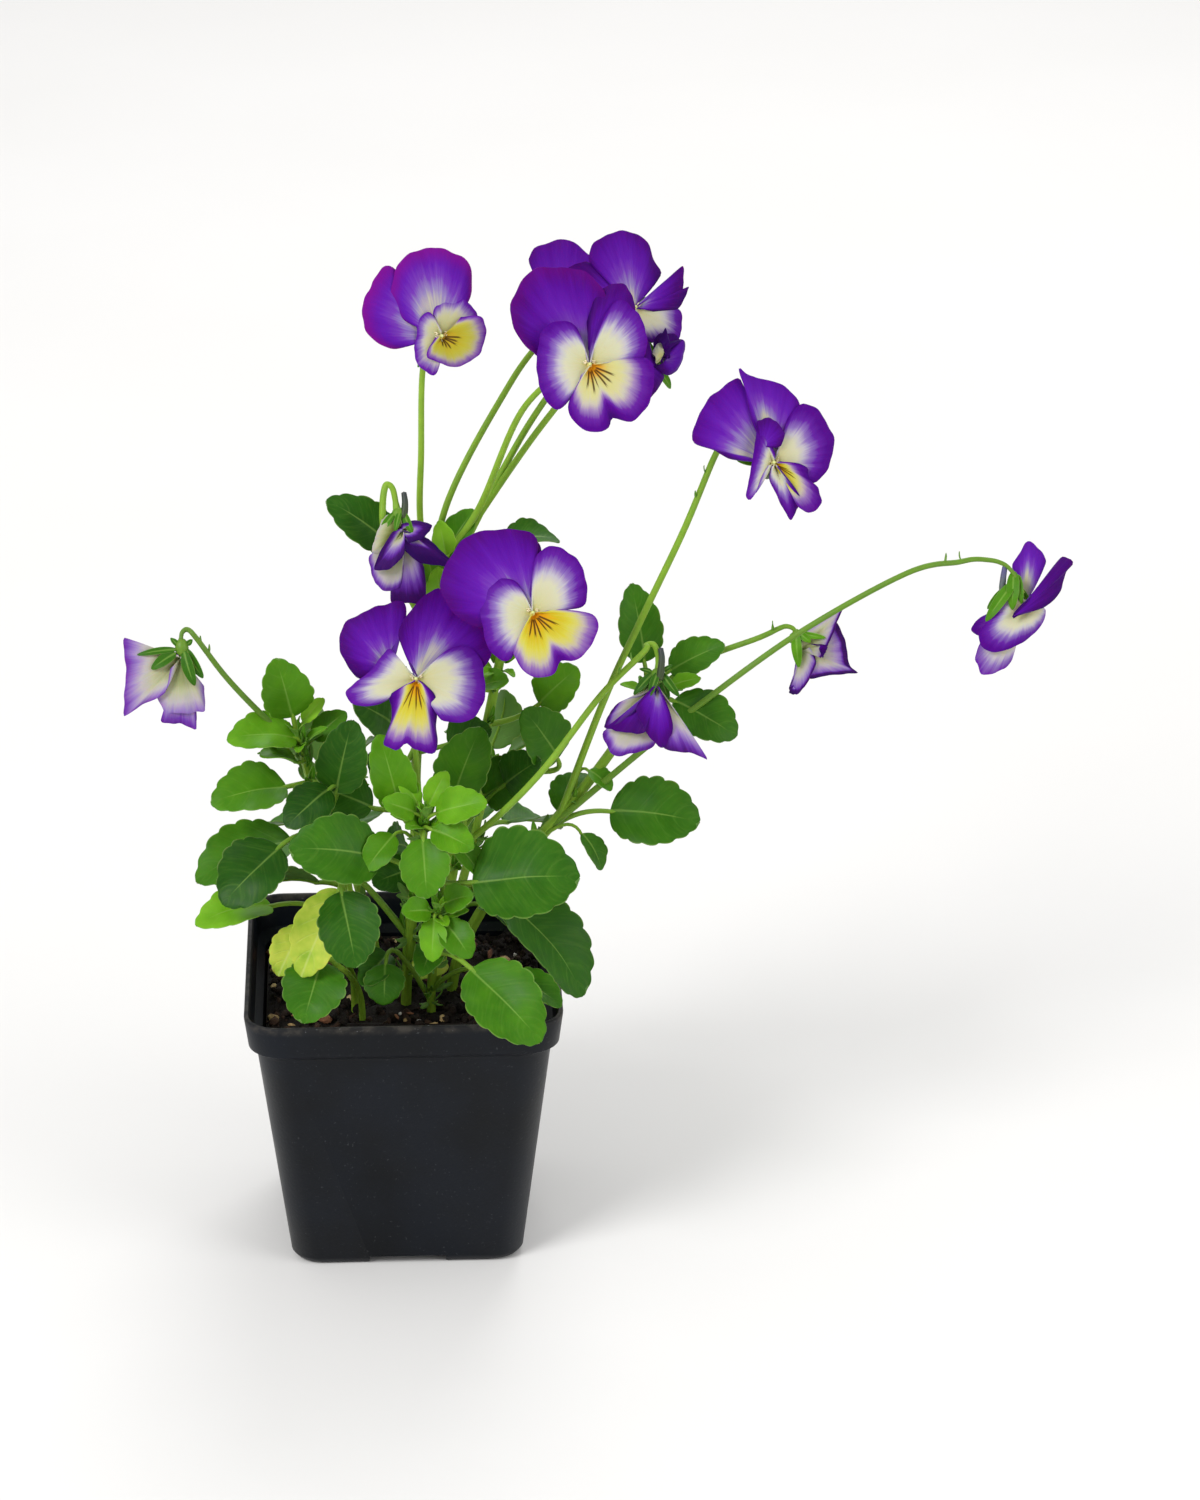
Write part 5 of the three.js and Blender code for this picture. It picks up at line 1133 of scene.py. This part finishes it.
def stipules(green, root, away, size, rng):
    """Two small ragged leafy lobes where a leaf stalk leaves the stem."""
    for sign in (-1, 1):
        out = unit(np.cross(away, [0, 0, 1]) * sign + 0.4 * away)
        for k, reach in enumerate((1.0, 0.62, 0.45)):
            rise = np.array([0, 0, 1.0 - 0.35 * k])
            direction = unit(out * (0.5 + 0.35 * k) + rise + 0.25 * rng.normal(size=3))
            start = root + direction * 0.8
            face = unit(np.cross(direction, np.cross(out, direction)) + 0.01)
            blade(green, start, start + direction * size * reach, size * 0.24, face, 0.5, rng, **STIPULE)


def young_leaves(blades, top, rise, rng):
    """Small unfolding leaves round the tip of a shoot, in an outer and an inner ring."""
    # The young leaves' bright tones are partly their own paler green and partly a painted glow of light
    # shining through them.
    spin = rng.uniform(0, ANY_ANGLE)
    for k in range(6):
        out = level_way(spin + k * NEXT_LEAF + 0.7)
        direction = unit(out + rise * rng.uniform(0.1, 0.6) + 0.2 * rng.normal(size=3))
        base = top + out * 1.5 - rise * rng.uniform(0.5, 4)
        size = rng.uniform(6.5, 10)
        width, tone = size * rng.uniform(0.42, 0.55), rng.uniform(0.5, 0.8)
        face = unit(rise + 0.3 * np.array([0, -1.0, 0]))
        blade(blades, base, base + direction * size, width, face, tone, rng, **YOUNG)
    for k in range(4):
        out = level_way(spin + k * NEXT_LEAF)
        base = top + out * 0.8 + rise * 0.4
        size = rng.uniform(4.0, 6.5)
        tip = base + unit(0.55 * out + rise) * size
        face = unit(rise * 0.5 - out + 0.01)
        blade(blades, base, tip, size * 0.45, face, rng.uniform(0.65, 0.9), rng, **YOUNGEST)


# ---------------------------------------------------------------- flowers

# A petal's mesh, half its thickness and, in millimetres, the usual depth of its relief.
PETAL = {
    "rows": 22, "columns": 61, "edge_steps": 600, "half": 0.16,
    "ruffle": 0.5, "crumple": 0.25, "crumple_size": 3.2, "dome": 0.8, "droop": 3.24,
}
# How far the calyx lies behind the face, the usual spur, and the end of the usual stalk.
CALYX_BACK = 5.1
SPUR_LINE = [(0, -0.6, -0.6), (0, -3.2, -4.2), (0, -3.6, -7.0), (0, -3.5, -9.0)]
SPUR_DARK = 0.3
SEPAL_TURNS = (0, 72, 144, 216, 288)
STALK_HOOK = [(0, 2.5, -CALYX_BACK - 3.5), (0, 0, -CALYX_BACK)]


def face_frame(origin, faces):
    """The middle of a flower's face with the directions to its right, up and out."""
    out = unit(faces)
    up = unit(np.array([0, 0, 1.0]) - out * out[2])
    return np.asarray(origin, float), np.cross(up, out), up, out


def from_face(axes, place):
    """A point whose place is given from the middle of a flower's face."""
    origin, right, up, out = axes
    return origin + right * place[0] + up * place[1] + out * place[2]


def edge_line(points, count, roundness):
    """Points along a curve through the edge points, with tighter corners where roundness is small."""
    p = padded([(*q, 0.0)[:3] for q in points])
    fine = np.linspace(0, len(points) - 1, PETAL["edge_steps"])
    i = np.minimum(fine.astype(int), len(points) - 2)
    t = (fine - i)[:, None]
    a, b, c, d = p[i], p[i + 1], p[i + 2], p[i + 3]
    line = (2 * t**3 - 3 * t**2 + 1) * b + (3 * t**2 - 2 * t**3) * c
    line = line + roundness * 0.5 * ((t**3 - 2 * t**2 + t) * (c - a) + (t**3 - t**2) * (d - b))
    reach = np.append(0, np.cumsum(np.linalg.norm(np.diff(line, axis=0), axis=1)))
    at = np.linspace(0, reach[-1], count)
    return np.column_stack([np.interp(at, reach, line[:, k]) for k in range(3)])


def nick_of(length):
    """Where along an edge (-1 to 1) it comes nearest to the throat between its two lobes."""
    n = len(length)
    return -1 + 2 * (n // 3 + int(np.argmin(length[n // 3:3 * n // 4]))) / (n - 1)


def petal(piece, axes, row, rng):
    """One petal from the throat to a given edge, with ruffles, folds and a shallow dome."""
    kind, layer, edge, look = row
    origin, right, up, out = axes
    line = edge_line(edge, PETAL["columns"], look.get("round", 1.0))
    s = np.linspace(-1, 1, PETAL["columns"])[None, :]
    rho = np.linspace(0.03, 1, PETAL["rows"])[:, None] ** 0.9
    a, b, c, d = rng.uniform(0, ANY_ANGLE, 4)
    wobble = 1 + 0.012 * np.sin(9 * s + a) + 0.008 * np.sin(19 * s + b) + 0.005 * np.sin(37 * s + c)
    foot = look.get("from", (0, 0))
    x = foot[0] + rho * (line[:, 0] * wobble - foot[0])
    y = foot[1] + rho * (line[:, 1] * wobble - foot[1])
    length = np.linalg.norm(line[:, :2], axis=1)
    lift = rho**2 * line[:, 2] + layer * (1 if "from" in look else smooth(0.0, 0.3, rho))
    ruffle = 0.7 * np.sin(5 * s + a) + 0.5 * np.sin(10 * s + c) + 0.3 * np.sin(21 * s + d)
    lift = lift + look.get("ruffle", PETAL["ruffle"]) * np.minimum(1, length / 12) * rho**3 * ruffle
    lift = lift + PETAL["crumple"] * rho * waves(x / PETAL["crumple_size"], y / PETAL["crumple_size"], rng)
    lift = lift + look.get("dome", PETAL["dome"]) * np.sin(math.pi * rho)
    lift = lift - PETAL["droop"] * np.clip(rho - 0.6, 0, 1) ** 2
    lift = lift + look.get("fold", 0.0) * rho * (np.abs(s) ** 1.5 - 0.4)
    grid = origin + x[..., None] * right + y[..., None] * up + lift[..., None] * out
    points, faces = sheet(grid, PETAL["half"] * (1 - 0.5 * rho**8), out)
    shift = look.get("shift", 0) + look.get("skew", 0) * s + look.get("flank", 0) * np.abs(s) ** 3
    shift = shift + look.get("kerf", 0) * bell(s, nick_of(length), 0.12) * rho**1.5
    shift = shift + look.get("rim", 0) * smooth(0.84, 0.96, rho)
    ray, pale = look.get("ray", (0, 0))
    shift = shift - pale * bell(s, ray, 0.16) * smooth(1.0, 0.4, rho)
    deep = look.get("deep", 0)
    marks = (deep + (1 - deep) * rho, 1.2 * s, length.max())
    paint = [look.get(name, 0) for name in ("magenta", "warm", "pale")]
    piece.add(points, faces, *two_sided(marks, shift, rng.random()), paint, kind)


def throat(piece, axes, rng):
    """The knob of the pistil in the mouth of the flower, and the beard of hairs at its sides."""
    _, right, up, out = axes
    knob = from_face(axes, (0, 0.2, 1.6))
    lump(piece, knob, (0.5, 0.5, 0.7), rng, 2, 0.04, axes[1:], (0.4, 0.5, 0), THROAT)
    neck = [from_face(axes, (0, 0, z)) for z in (-2.5, -0.5, 1.1)]
    piece.add(*tube(neck, [0.5, 0.9, 0.5], 12), (0.55, 0.5, 0), slot=THROAT)
    for sign in (-1, 1):
        for _ in range(9):
            start = (sign * rng.uniform(1.0, 1.8), rng.uniform(0.2, 1.4), rng.uniform(0.5, 1.2))
            start = from_face(axes, start)
            way = -right * sign * rng.uniform(0.3, 0.8) + out * rng.uniform(0.6, 1.0)
            way = unit(way - up * rng.uniform(0.0, 0.5)) * rng.uniform(0.6, 1.1)
            line = [start, start + way * 0.5 + 0.1 * up, start + way]
            piece.add(*tube(line, [0.1, 0.08, 0.04], 5), (0.9, rng.random(), 0), slot=THROAT)


def seen_calyx(green, axes, spec, rng):
    """The calyx of a flower seen from its side: a cup and sepals given by their roots and tips."""
    out = axes[3]
    centre, radii = spec["cup"]
    lump(green, from_face(axes, centre), radii, rng, 2, 0.05, axes[1:], (0.3, 0.5, 0))
    for root, tip, width in spec["sepals"]:
        root, tip = from_face(axes, root), from_face(axes, tip)
        face = out + 0.25 * unit(np.cross(tip - root, out))
        blade(green, root, tip, width, face, spec.get("calyx_tone", 0.5), rng, **SEEN_SEPAL)


def calyx(green, axes, rng):
    """The green cup behind a flower, its sepals and the small lobes behind them."""
    _, right, up, out = axes
    centre = from_face(axes, (0, 0, -CALYX_BACK))
    lump(green, centre + 0.3 * out, (1.5, 1.5, 1.9), rng, 2, 0.03, axes[1:], (0.3, 0.5, 0))
    for degrees in SEPAL_TURNS:
        turn = math.radians(degrees + rng.uniform(-6, 6))
        radial = right * math.sin(turn) + up * math.cos(turn)
        along = unit(radial - 0.2 * out)
        root = centre + radial
        face = unit(np.cross(along, np.cross(out, radial)))
        blade(green, root, root + along * rng.uniform(7.2, 8.4), 2.5, face, 0.55, rng, **SEPAL)
        back = unit(radial * 0.8 - out)
        blade(green, root, root + back * 2.6, 1.7, radial, 0.5, rng, **LOBE)


def spur(piece, axes, line, dark):
    """The spur behind the lowest petal."""
    line = spline([from_face(axes, p) for p in line], 12)
    piece.add(*tube(line, np.linspace(1.15, 0.75, 12), 12), (dark, 0.5, 0), slot=SPUR)


def flower_stalk(green, spec, axes, rng):
    """The stalk from the shoot to the calyx, with two small bracts on it but for the back shoot's."""
    end = [from_face(axes, p) for p in spec.get("arch", STALK_HOOK)]
    line = [stem_point(SHOOTS[spec["shoot"]], spec["from"]), *spec["stalk"], *end]
    count = 12 * len(line)
    line = spline(line, count)
    radii = np.linspace(0.98, spec.get("thin", 0.7), count)
    radii[-6:] *= np.linspace(1, 1.35, 6)
    green.add(*tube(line, radii, 10, 0.06), (spec.get("tone", 0.6), rng.random(), 0))
    for place in (0.42, 0.46) if spec["shoot"] != "back" else ():
        at = line[int(place * count)]
        level = level_way(rng.uniform(0, ANY_ANGLE))
        tip = at + 3.0 * unit(0.25 * level + np.array([0, 0, 1]))
        blade(green, at, tip, 0.7, level + np.array([0, 0, 0.1]), 0.5, rng, **BRACT)


def flower(name, green, rng):
    """The petals, throat and spur as one piece; calyx and stalk join the shoot's green."""
    spec = FLOWERS[name]
    axes = face_frame(spec["throat"], spec["faces"])
    sideways = "cup" in spec
    piece = Piece("petals_" + name, FLOWER_LOOKS)
    for row in OUTLINES[name]:
        petal(piece, axes, row, rng)
    if not sideways and "crumpled" not in spec:
        throat(piece, axes, rng)
    if "spur" in spec:
        spur(piece, axes, spec["spur"], spec["spur_dark"])
    elif not sideways:
        spur(piece, axes, SPUR_LINE, SPUR_DARK)
    if sideways:
        seen_calyx(green, axes, spec, rng)
    else:
        calyx(green, axes, rng)
    flower_stalk(green, spec, axes, rng)
    piece.make("flower_" + name, "faded_petals" if "faded" in spec else "petals")


def shoot(name, rng):
    """A stem with its leaves, and the flowers that spring from it.

    The old leaf pair and the leaf at the foot have neither stipules nor young leaves.
    """
    spec = SHOOTS[name]
    plain = name in ("old", "foot_leaf")
    green = Piece("stems_" + name, [STEM_LOOK, LEAF_LOOK])
    blades = Piece("leaves_" + name, [OLD_LEAF_LOOK if name == "old" else LEAF_LOOK])
    count = 10 * len(spec["stem"])
    radii = spec["radius"] * np.linspace(1.0, 0.8, count)
    green.add(*tube(spline(spec["stem"], count), radii, 12, 0.07), (0.68, rng.random(), 0))
    for row in spec["leaves"]:
        root, along = leaf(green, blades, spec, row, rng)
        width = row[3]
        if not plain and width > 6:
            stipules(green, root, along, float(np.clip(0.5 * width, 4.5, 9)), rng)
    if not plain:
        line = np.asarray(spec["stem"], float)
        young_leaves(blades, line[-1], unit(line[-1] - line[-2]), rng)
    for letter, item in FLOWERS.items():
        if item["shoot"] == name:
            flower(letter, green, rng)
    for piece in (green, blades):
        piece.make("shoot_" + name, "yellow_green" if name == "old" else "green")


# ---------------------------------------------------------------- pot and soil


def rounded_square(half, radius, z, segments=10):
    """A level ring with straight sides and round corners."""
    centre = half - radius
    ring = []
    for sx, sy, start in ((1, 1, 0), (-1, 1, 90), (-1, -1, 180), (1, -1, 270)):
        for i in range(segments + 1):
            turn = math.radians(start + 90 * i / segments)
            ring.append((sx * centre + radius * math.cos(turn), sy * centre + radius * math.sin(turn), z))
    return ring


def solid(rings):
    """An object through a stack of rings, for cutting."""
    points, faces = loft(rings)
    mesh = bpy.data.meshes.new("cutter")
    mesh.from_pydata((points * MM).tolist(), [], faces)
    return shown("cutter", mesh)


def prism(ring, top):
    """An upright object from under the pot to a height, for cutting."""
    return solid([[(*p, z) for p in ring] for z in (-3, top)])


def carved(body, cutters):
    """The mesh of a body with other bodies cut out of it; all of those objects are used up."""
    for cutter in cutters:
        modifier = body.modifiers.new("cut", "BOOLEAN")
        modifier.operation = "DIFFERENCE"
        modifier.solver = "EXACT"
        modifier.object = cutter
    bpy.context.view_layer.update()
    result = body.evaluated_get(bpy.context.evaluated_depsgraph_get())
    mesh = bpy.data.meshes.new_from_object(result)
    for thing in (body, *cutters):
        bpy.data.objects.remove(thing)
    return mesh


def corner(z):
    """The radius of the pot's corners at a height."""
    return POT["foot_corner"] + (POT["corner"] - POT["foot_corner"]) * z / POT["height"]


def body_half(z):
    """Half the pot's width at a height, below the band."""
    top = POT["height"] - POT["band_height"] - POT["band_step"]
    return POT["foot_half"] + (POT["body_top_half"] - POT["foot_half"]) * z / top


def arches(grow):
    """Cutters for the arches in the foot of the four sides, grown by a wall where the room ends at them."""
    inner = POT["foot_half"] - NOTCH["depth"] - grow
    outer = POT["foot_half"] + grow + 3
    width = NOTCH["width"] / 2 + grow
    made = []
    for x, y in ((0, -1), (0, 1), (-1, 0), (1, 0)):
        west, east = sorted((x * inner, x * outer)) if x else (-width, width)
        south, north = sorted((y * inner, y * outer)) if y else (-width, width)
        ring = [(west, south), (east, south), (east, north), (west, north)]
        made.append(prism(ring, NOTCH["height"] + grow))
    return made


def make_pot():
    """The pot: its outside with a rim band, less its room, the arches in its foot and its drains."""
    height, wall, foot = POT["height"], POT["wall"], POT["foot_round"]
    step = height - POT["band_height"]
    ledge = step - POT["band_step"]
    low, top, band, rim = POT["foot_half"], POT["body_top_half"], POT["band_foot_half"], POT["rim_half"]
    outside = [(low - foot, 0)]
    for turn in np.radians([22, 45, 68]):
        outside.append((low - foot * (1 - math.sin(turn)), foot * (1 - math.cos(turn))))
    outside += [
        (body_half(foot), foot), (top - 0.1, ledge - 0.8), (top + 0.25, ledge + 0.3),
        (band - 0.3, step - 0.3), (band, step), (band + 0.08, step + 0.5),
        (rim, height - 0.7), (rim - 0.05, height - 0.3), (rim - 0.2, height - 0.08), (rim - 0.4, height),
    ]
    mouth = rim - wall
    inside = [
        (body_half(wall) - wall, wall), (top - wall, ledge), (band - wall, step),
        (mouth - 0.05, height - 0.5), (mouth + 0.1, height - 0.15),
        (mouth + 0.3, height + 0.05), (mouth + 0.4, height + 3),
    ]
    room = solid([rounded_square(half, corner(z) - wall, z) for half, z in inside])
    room = shown("room", carved(room, arches(wall)))
    body = solid([rounded_square(half, corner(z), z) for half, z in outside])
    drains = []
    for x, y in ((1, 1), (-1, 1), (-1, -1), (1, -1)):
        middle = DRAIN["at"] * np.array([x, y, 0])
        circle = [middle + DRAIN["radius"] * level_way(math.radians(15 * i)) for i in range(24)]
        drains.append(prism([p[:2] for p in circle], 3))
    mesh = carved(body, [room, *arches(0), *drains])
    mesh.name = "pot_shell"
    dressed(mesh, [POT_LOOK], [0] * len(mesh.polygons), 32)
    placed(shown("pot_shell", mesh), "pot")


def soil_height(x, y):
    """The uneven height of the soil, which has settled towards the wall."""
    lumps = np.sin(0.31 * x + 1.3) * np.cos(0.27 * y - 0.4) + 0.6 * np.sin(0.53 * x - 0.47 * y)
    return SOIL["top"] + SOIL["relief"] * lumps - SOIL["settled"] * (x * x + y * y)


def inside_pot(x, y, margin):
    """Whether a place on the soil is at least a margin away from the pot's wall."""
    half = body_half(68) - POT["wall"] - margin
    radius = corner(70) - POT["wall"] - margin
    dx, dy = abs(x) - (half - radius), abs(y) - (half - radius)
    if dx > 0 and dy > 0:
        return dx * dx + dy * dy < radius * radius
    return max(abs(x), abs(y)) < half


def lying(spin, dip, tip):
    """Axes of a thing that lies on the soil, turned by an angle and a little tilted."""
    return [level_way(spin) + [0, 0, dip], [-math.sin(spin), math.cos(spin), 0.05], tip]


def make_soil(rng):
    """The soil with its uneven top, its crumbs and its grains of perlite."""
    earth = Piece("soil_mix", [EARTH_LOOK, PERLITE_LOOK])
    inset = POT["wall"] + SOIL["clear"]
    rings = []
    for z in (SOIL["bottom"], 30, 66):
        rings.append(np.array(rounded_square(body_half(z) - inset, corner(z) - inset, z, 12)))
    rim = rings[-1]
    for share in np.linspace(1.0, 0.02, 36):
        x, y = share * rim[:, 0], share * rim[:, 1]
        bumps = 0.6 * waves(x, y, np.random.default_rng(3), 9, 0.5, 2.4) * min(1, (1 - share) * 20 + 0.2)
        rings.append(np.column_stack([x, y, soil_height(x, y) - 0.4 + bumps]))
    earth.add(*loft(rings), tone=(0.3, 0.5, 0))
    made = 0
    while made < CRUMBS["count"]:
        x, y = rng.uniform(-CRUMBS["reach"], CRUMBS["reach"], 2)
        size = CRUMBS["least"] + CRUMBS["more"] * rng.random() ** 2.5
        if not inside_pot(x, y, size + 0.4):
            continue
        made += 1
        z = soil_height(x, y) + size * rng.uniform(-0.3, 0.35)
        radii = size * np.array([1, rng.uniform(0.6, 1), rng.uniform(0.45, 0.8)])
        axes = random_axes(rng)
        lump(earth, (x, y, z), radii, rng, 1, 0.25, axes, (rng.uniform(0.1, 0.8), rng.random(), 0))
    for _ in range(PERLITE["count"]):
        x, y = rng.uniform(-PERLITE["reach"], PERLITE["reach"], 2)
        radii = rng.uniform(PERLITE["least"], PERLITE["most"]) * np.array([1, 0.8, 0.7])
        axes = random_axes(rng)
        lump(earth, (x, y, soil_height(x, y) + 0.5), radii, rng, 1, 0.2, axes, (0.5, rng.random(), 0), 1)
    earth.make("soil", "soil", 80)


def make_litter(rng):
    """A fallen leaf, bark, pebbles and splinters on the soil."""
    litter = Piece("litter", [BARK_LOOK, STONE_LOOK, OLD_LEAF_LOOK])
    blade(litter, [2, 1, 79], [13, -3, 79.5], 9, CAM, 0.9, rng, rows=40, columns=11, slot=2)
    for x, y, size, kind in STONES:
        axes = lying(rng.uniform(0, 3.1), 0.1, [0, -0.1, 1])
        place = (x, y, soil_height(x, y) + 0.12 * size)
        radii = size * np.array([1, 0.7, 0.5])
        lump(litter, place, radii, rng, 2, 0.1, axes, (0.5, rng.random(), 0), kind)
    for _ in range(SPLINTERS["count"]):
        x, y = rng.uniform(-SPLINTERS["reach"], SPLINTERS["reach"], 2)
        size = rng.uniform(SPLINTERS["least"], SPLINTERS["most"])
        if not inside_pot(x, y, size + 0.5):
            continue
        axes = lying(rng.uniform(0, 3.1), rng.uniform(-0.3, 0.3), [0, 0, 1])
        place = (x, y, soil_height(x, y) + 0.6)
        tone, kind = (0.5, rng.random(), 0), 0 if rng.random() < 0.75 else 1
        lump(litter, place, size * np.array([1, 0.35, 0.25]), rng, 1, 0.2, axes, tone, kind)
    litter.make("soil", "soil", 60)


make_pot()
soil_rng = np.random.default_rng(SEED)
make_soil(soil_rng)
make_litter(soil_rng)
for number, shoot_name in enumerate(SHOOTS):
    shoot(shoot_name, np.random.default_rng(SEED + 1 + number))

# ---------------------------------------------------------------- floor, light and camera

FLOOR_HALF = 3.0
WORLD_LIGHT = 0.62
AIM = (0.03, 0, 0.15)
# Where each lamp stands in metres, what it looks at, its width and its power.
LAMPS = {
    "key": ((-1.1, -1.1, 1.5), (0.03, 0, 0.16), 0.9, 26),
    "fill": ((1.4, -0.9, 0.9), AIM, 1.2, 9),
    "back": ((0.3, 1.3, 1.4), AIM, 1.0, 12),
}
# Metres, degrees downwards and to the right, and millimetres of lens and sensor.
CAMERA = {"place": (0, -1.340, 0.734), "down": 23.67, "right": 2.43, "lens": 124.0, "sensor": 36, "far": 30}


def make_floor():
    half = FLOOR_HALF
    mesh = bpy.data.meshes.new("floor")
    corners = [(-half, -half, 0), (half, -half, 0), (half, half, 0), (-half, half, 0)]
    mesh.from_pydata(corners, [], [(0, 1, 2, 3)])
    mesh.materials.append(floor_look())
    shown("floor", mesh)


def area_light(name, place, target, size, power):
    data = bpy.data.lights.new(name, "AREA")
    data.shape = "DISK"
    data.size = size
    data.energy = power
    lamp = shown(name, data)
    lamp.location = place
    way = unit(np.asarray(target, float) - np.asarray(place, float))
    yaw = math.atan2(way[1], way[0]) - math.pi / 2
    lamp.rotation_euler = (math.pi / 2 + math.asin(way[2]), 0, yaw)


make_floor()
world = bpy.data.worlds.new("studio")
world.use_nodes = True
world.node_tree.nodes["Background"].inputs["Color"].default_value = (1.0, 1.0, 1.0, 1)
world.node_tree.nodes["Background"].inputs["Strength"].default_value = WORLD_LIGHT
bpy.context.scene.world = world
for lamp_name, values in LAMPS.items():
    area_light(lamp_name, *values)

camera_data = bpy.data.cameras.new("camera")
camera_data.lens = CAMERA["lens"]
camera_data.sensor_width = CAMERA["sensor"]
camera_data.clip_end = CAMERA["far"]
camera = shown("camera", camera_data)
camera.location = CAMERA["place"]
camera.rotation_euler = (math.radians(90 - CAMERA["down"]), 0, math.radians(-CAMERA["right"]))
bpy.context.scene.camera = camera
bpy.context.scene.view_settings.view_transform = "Standard"
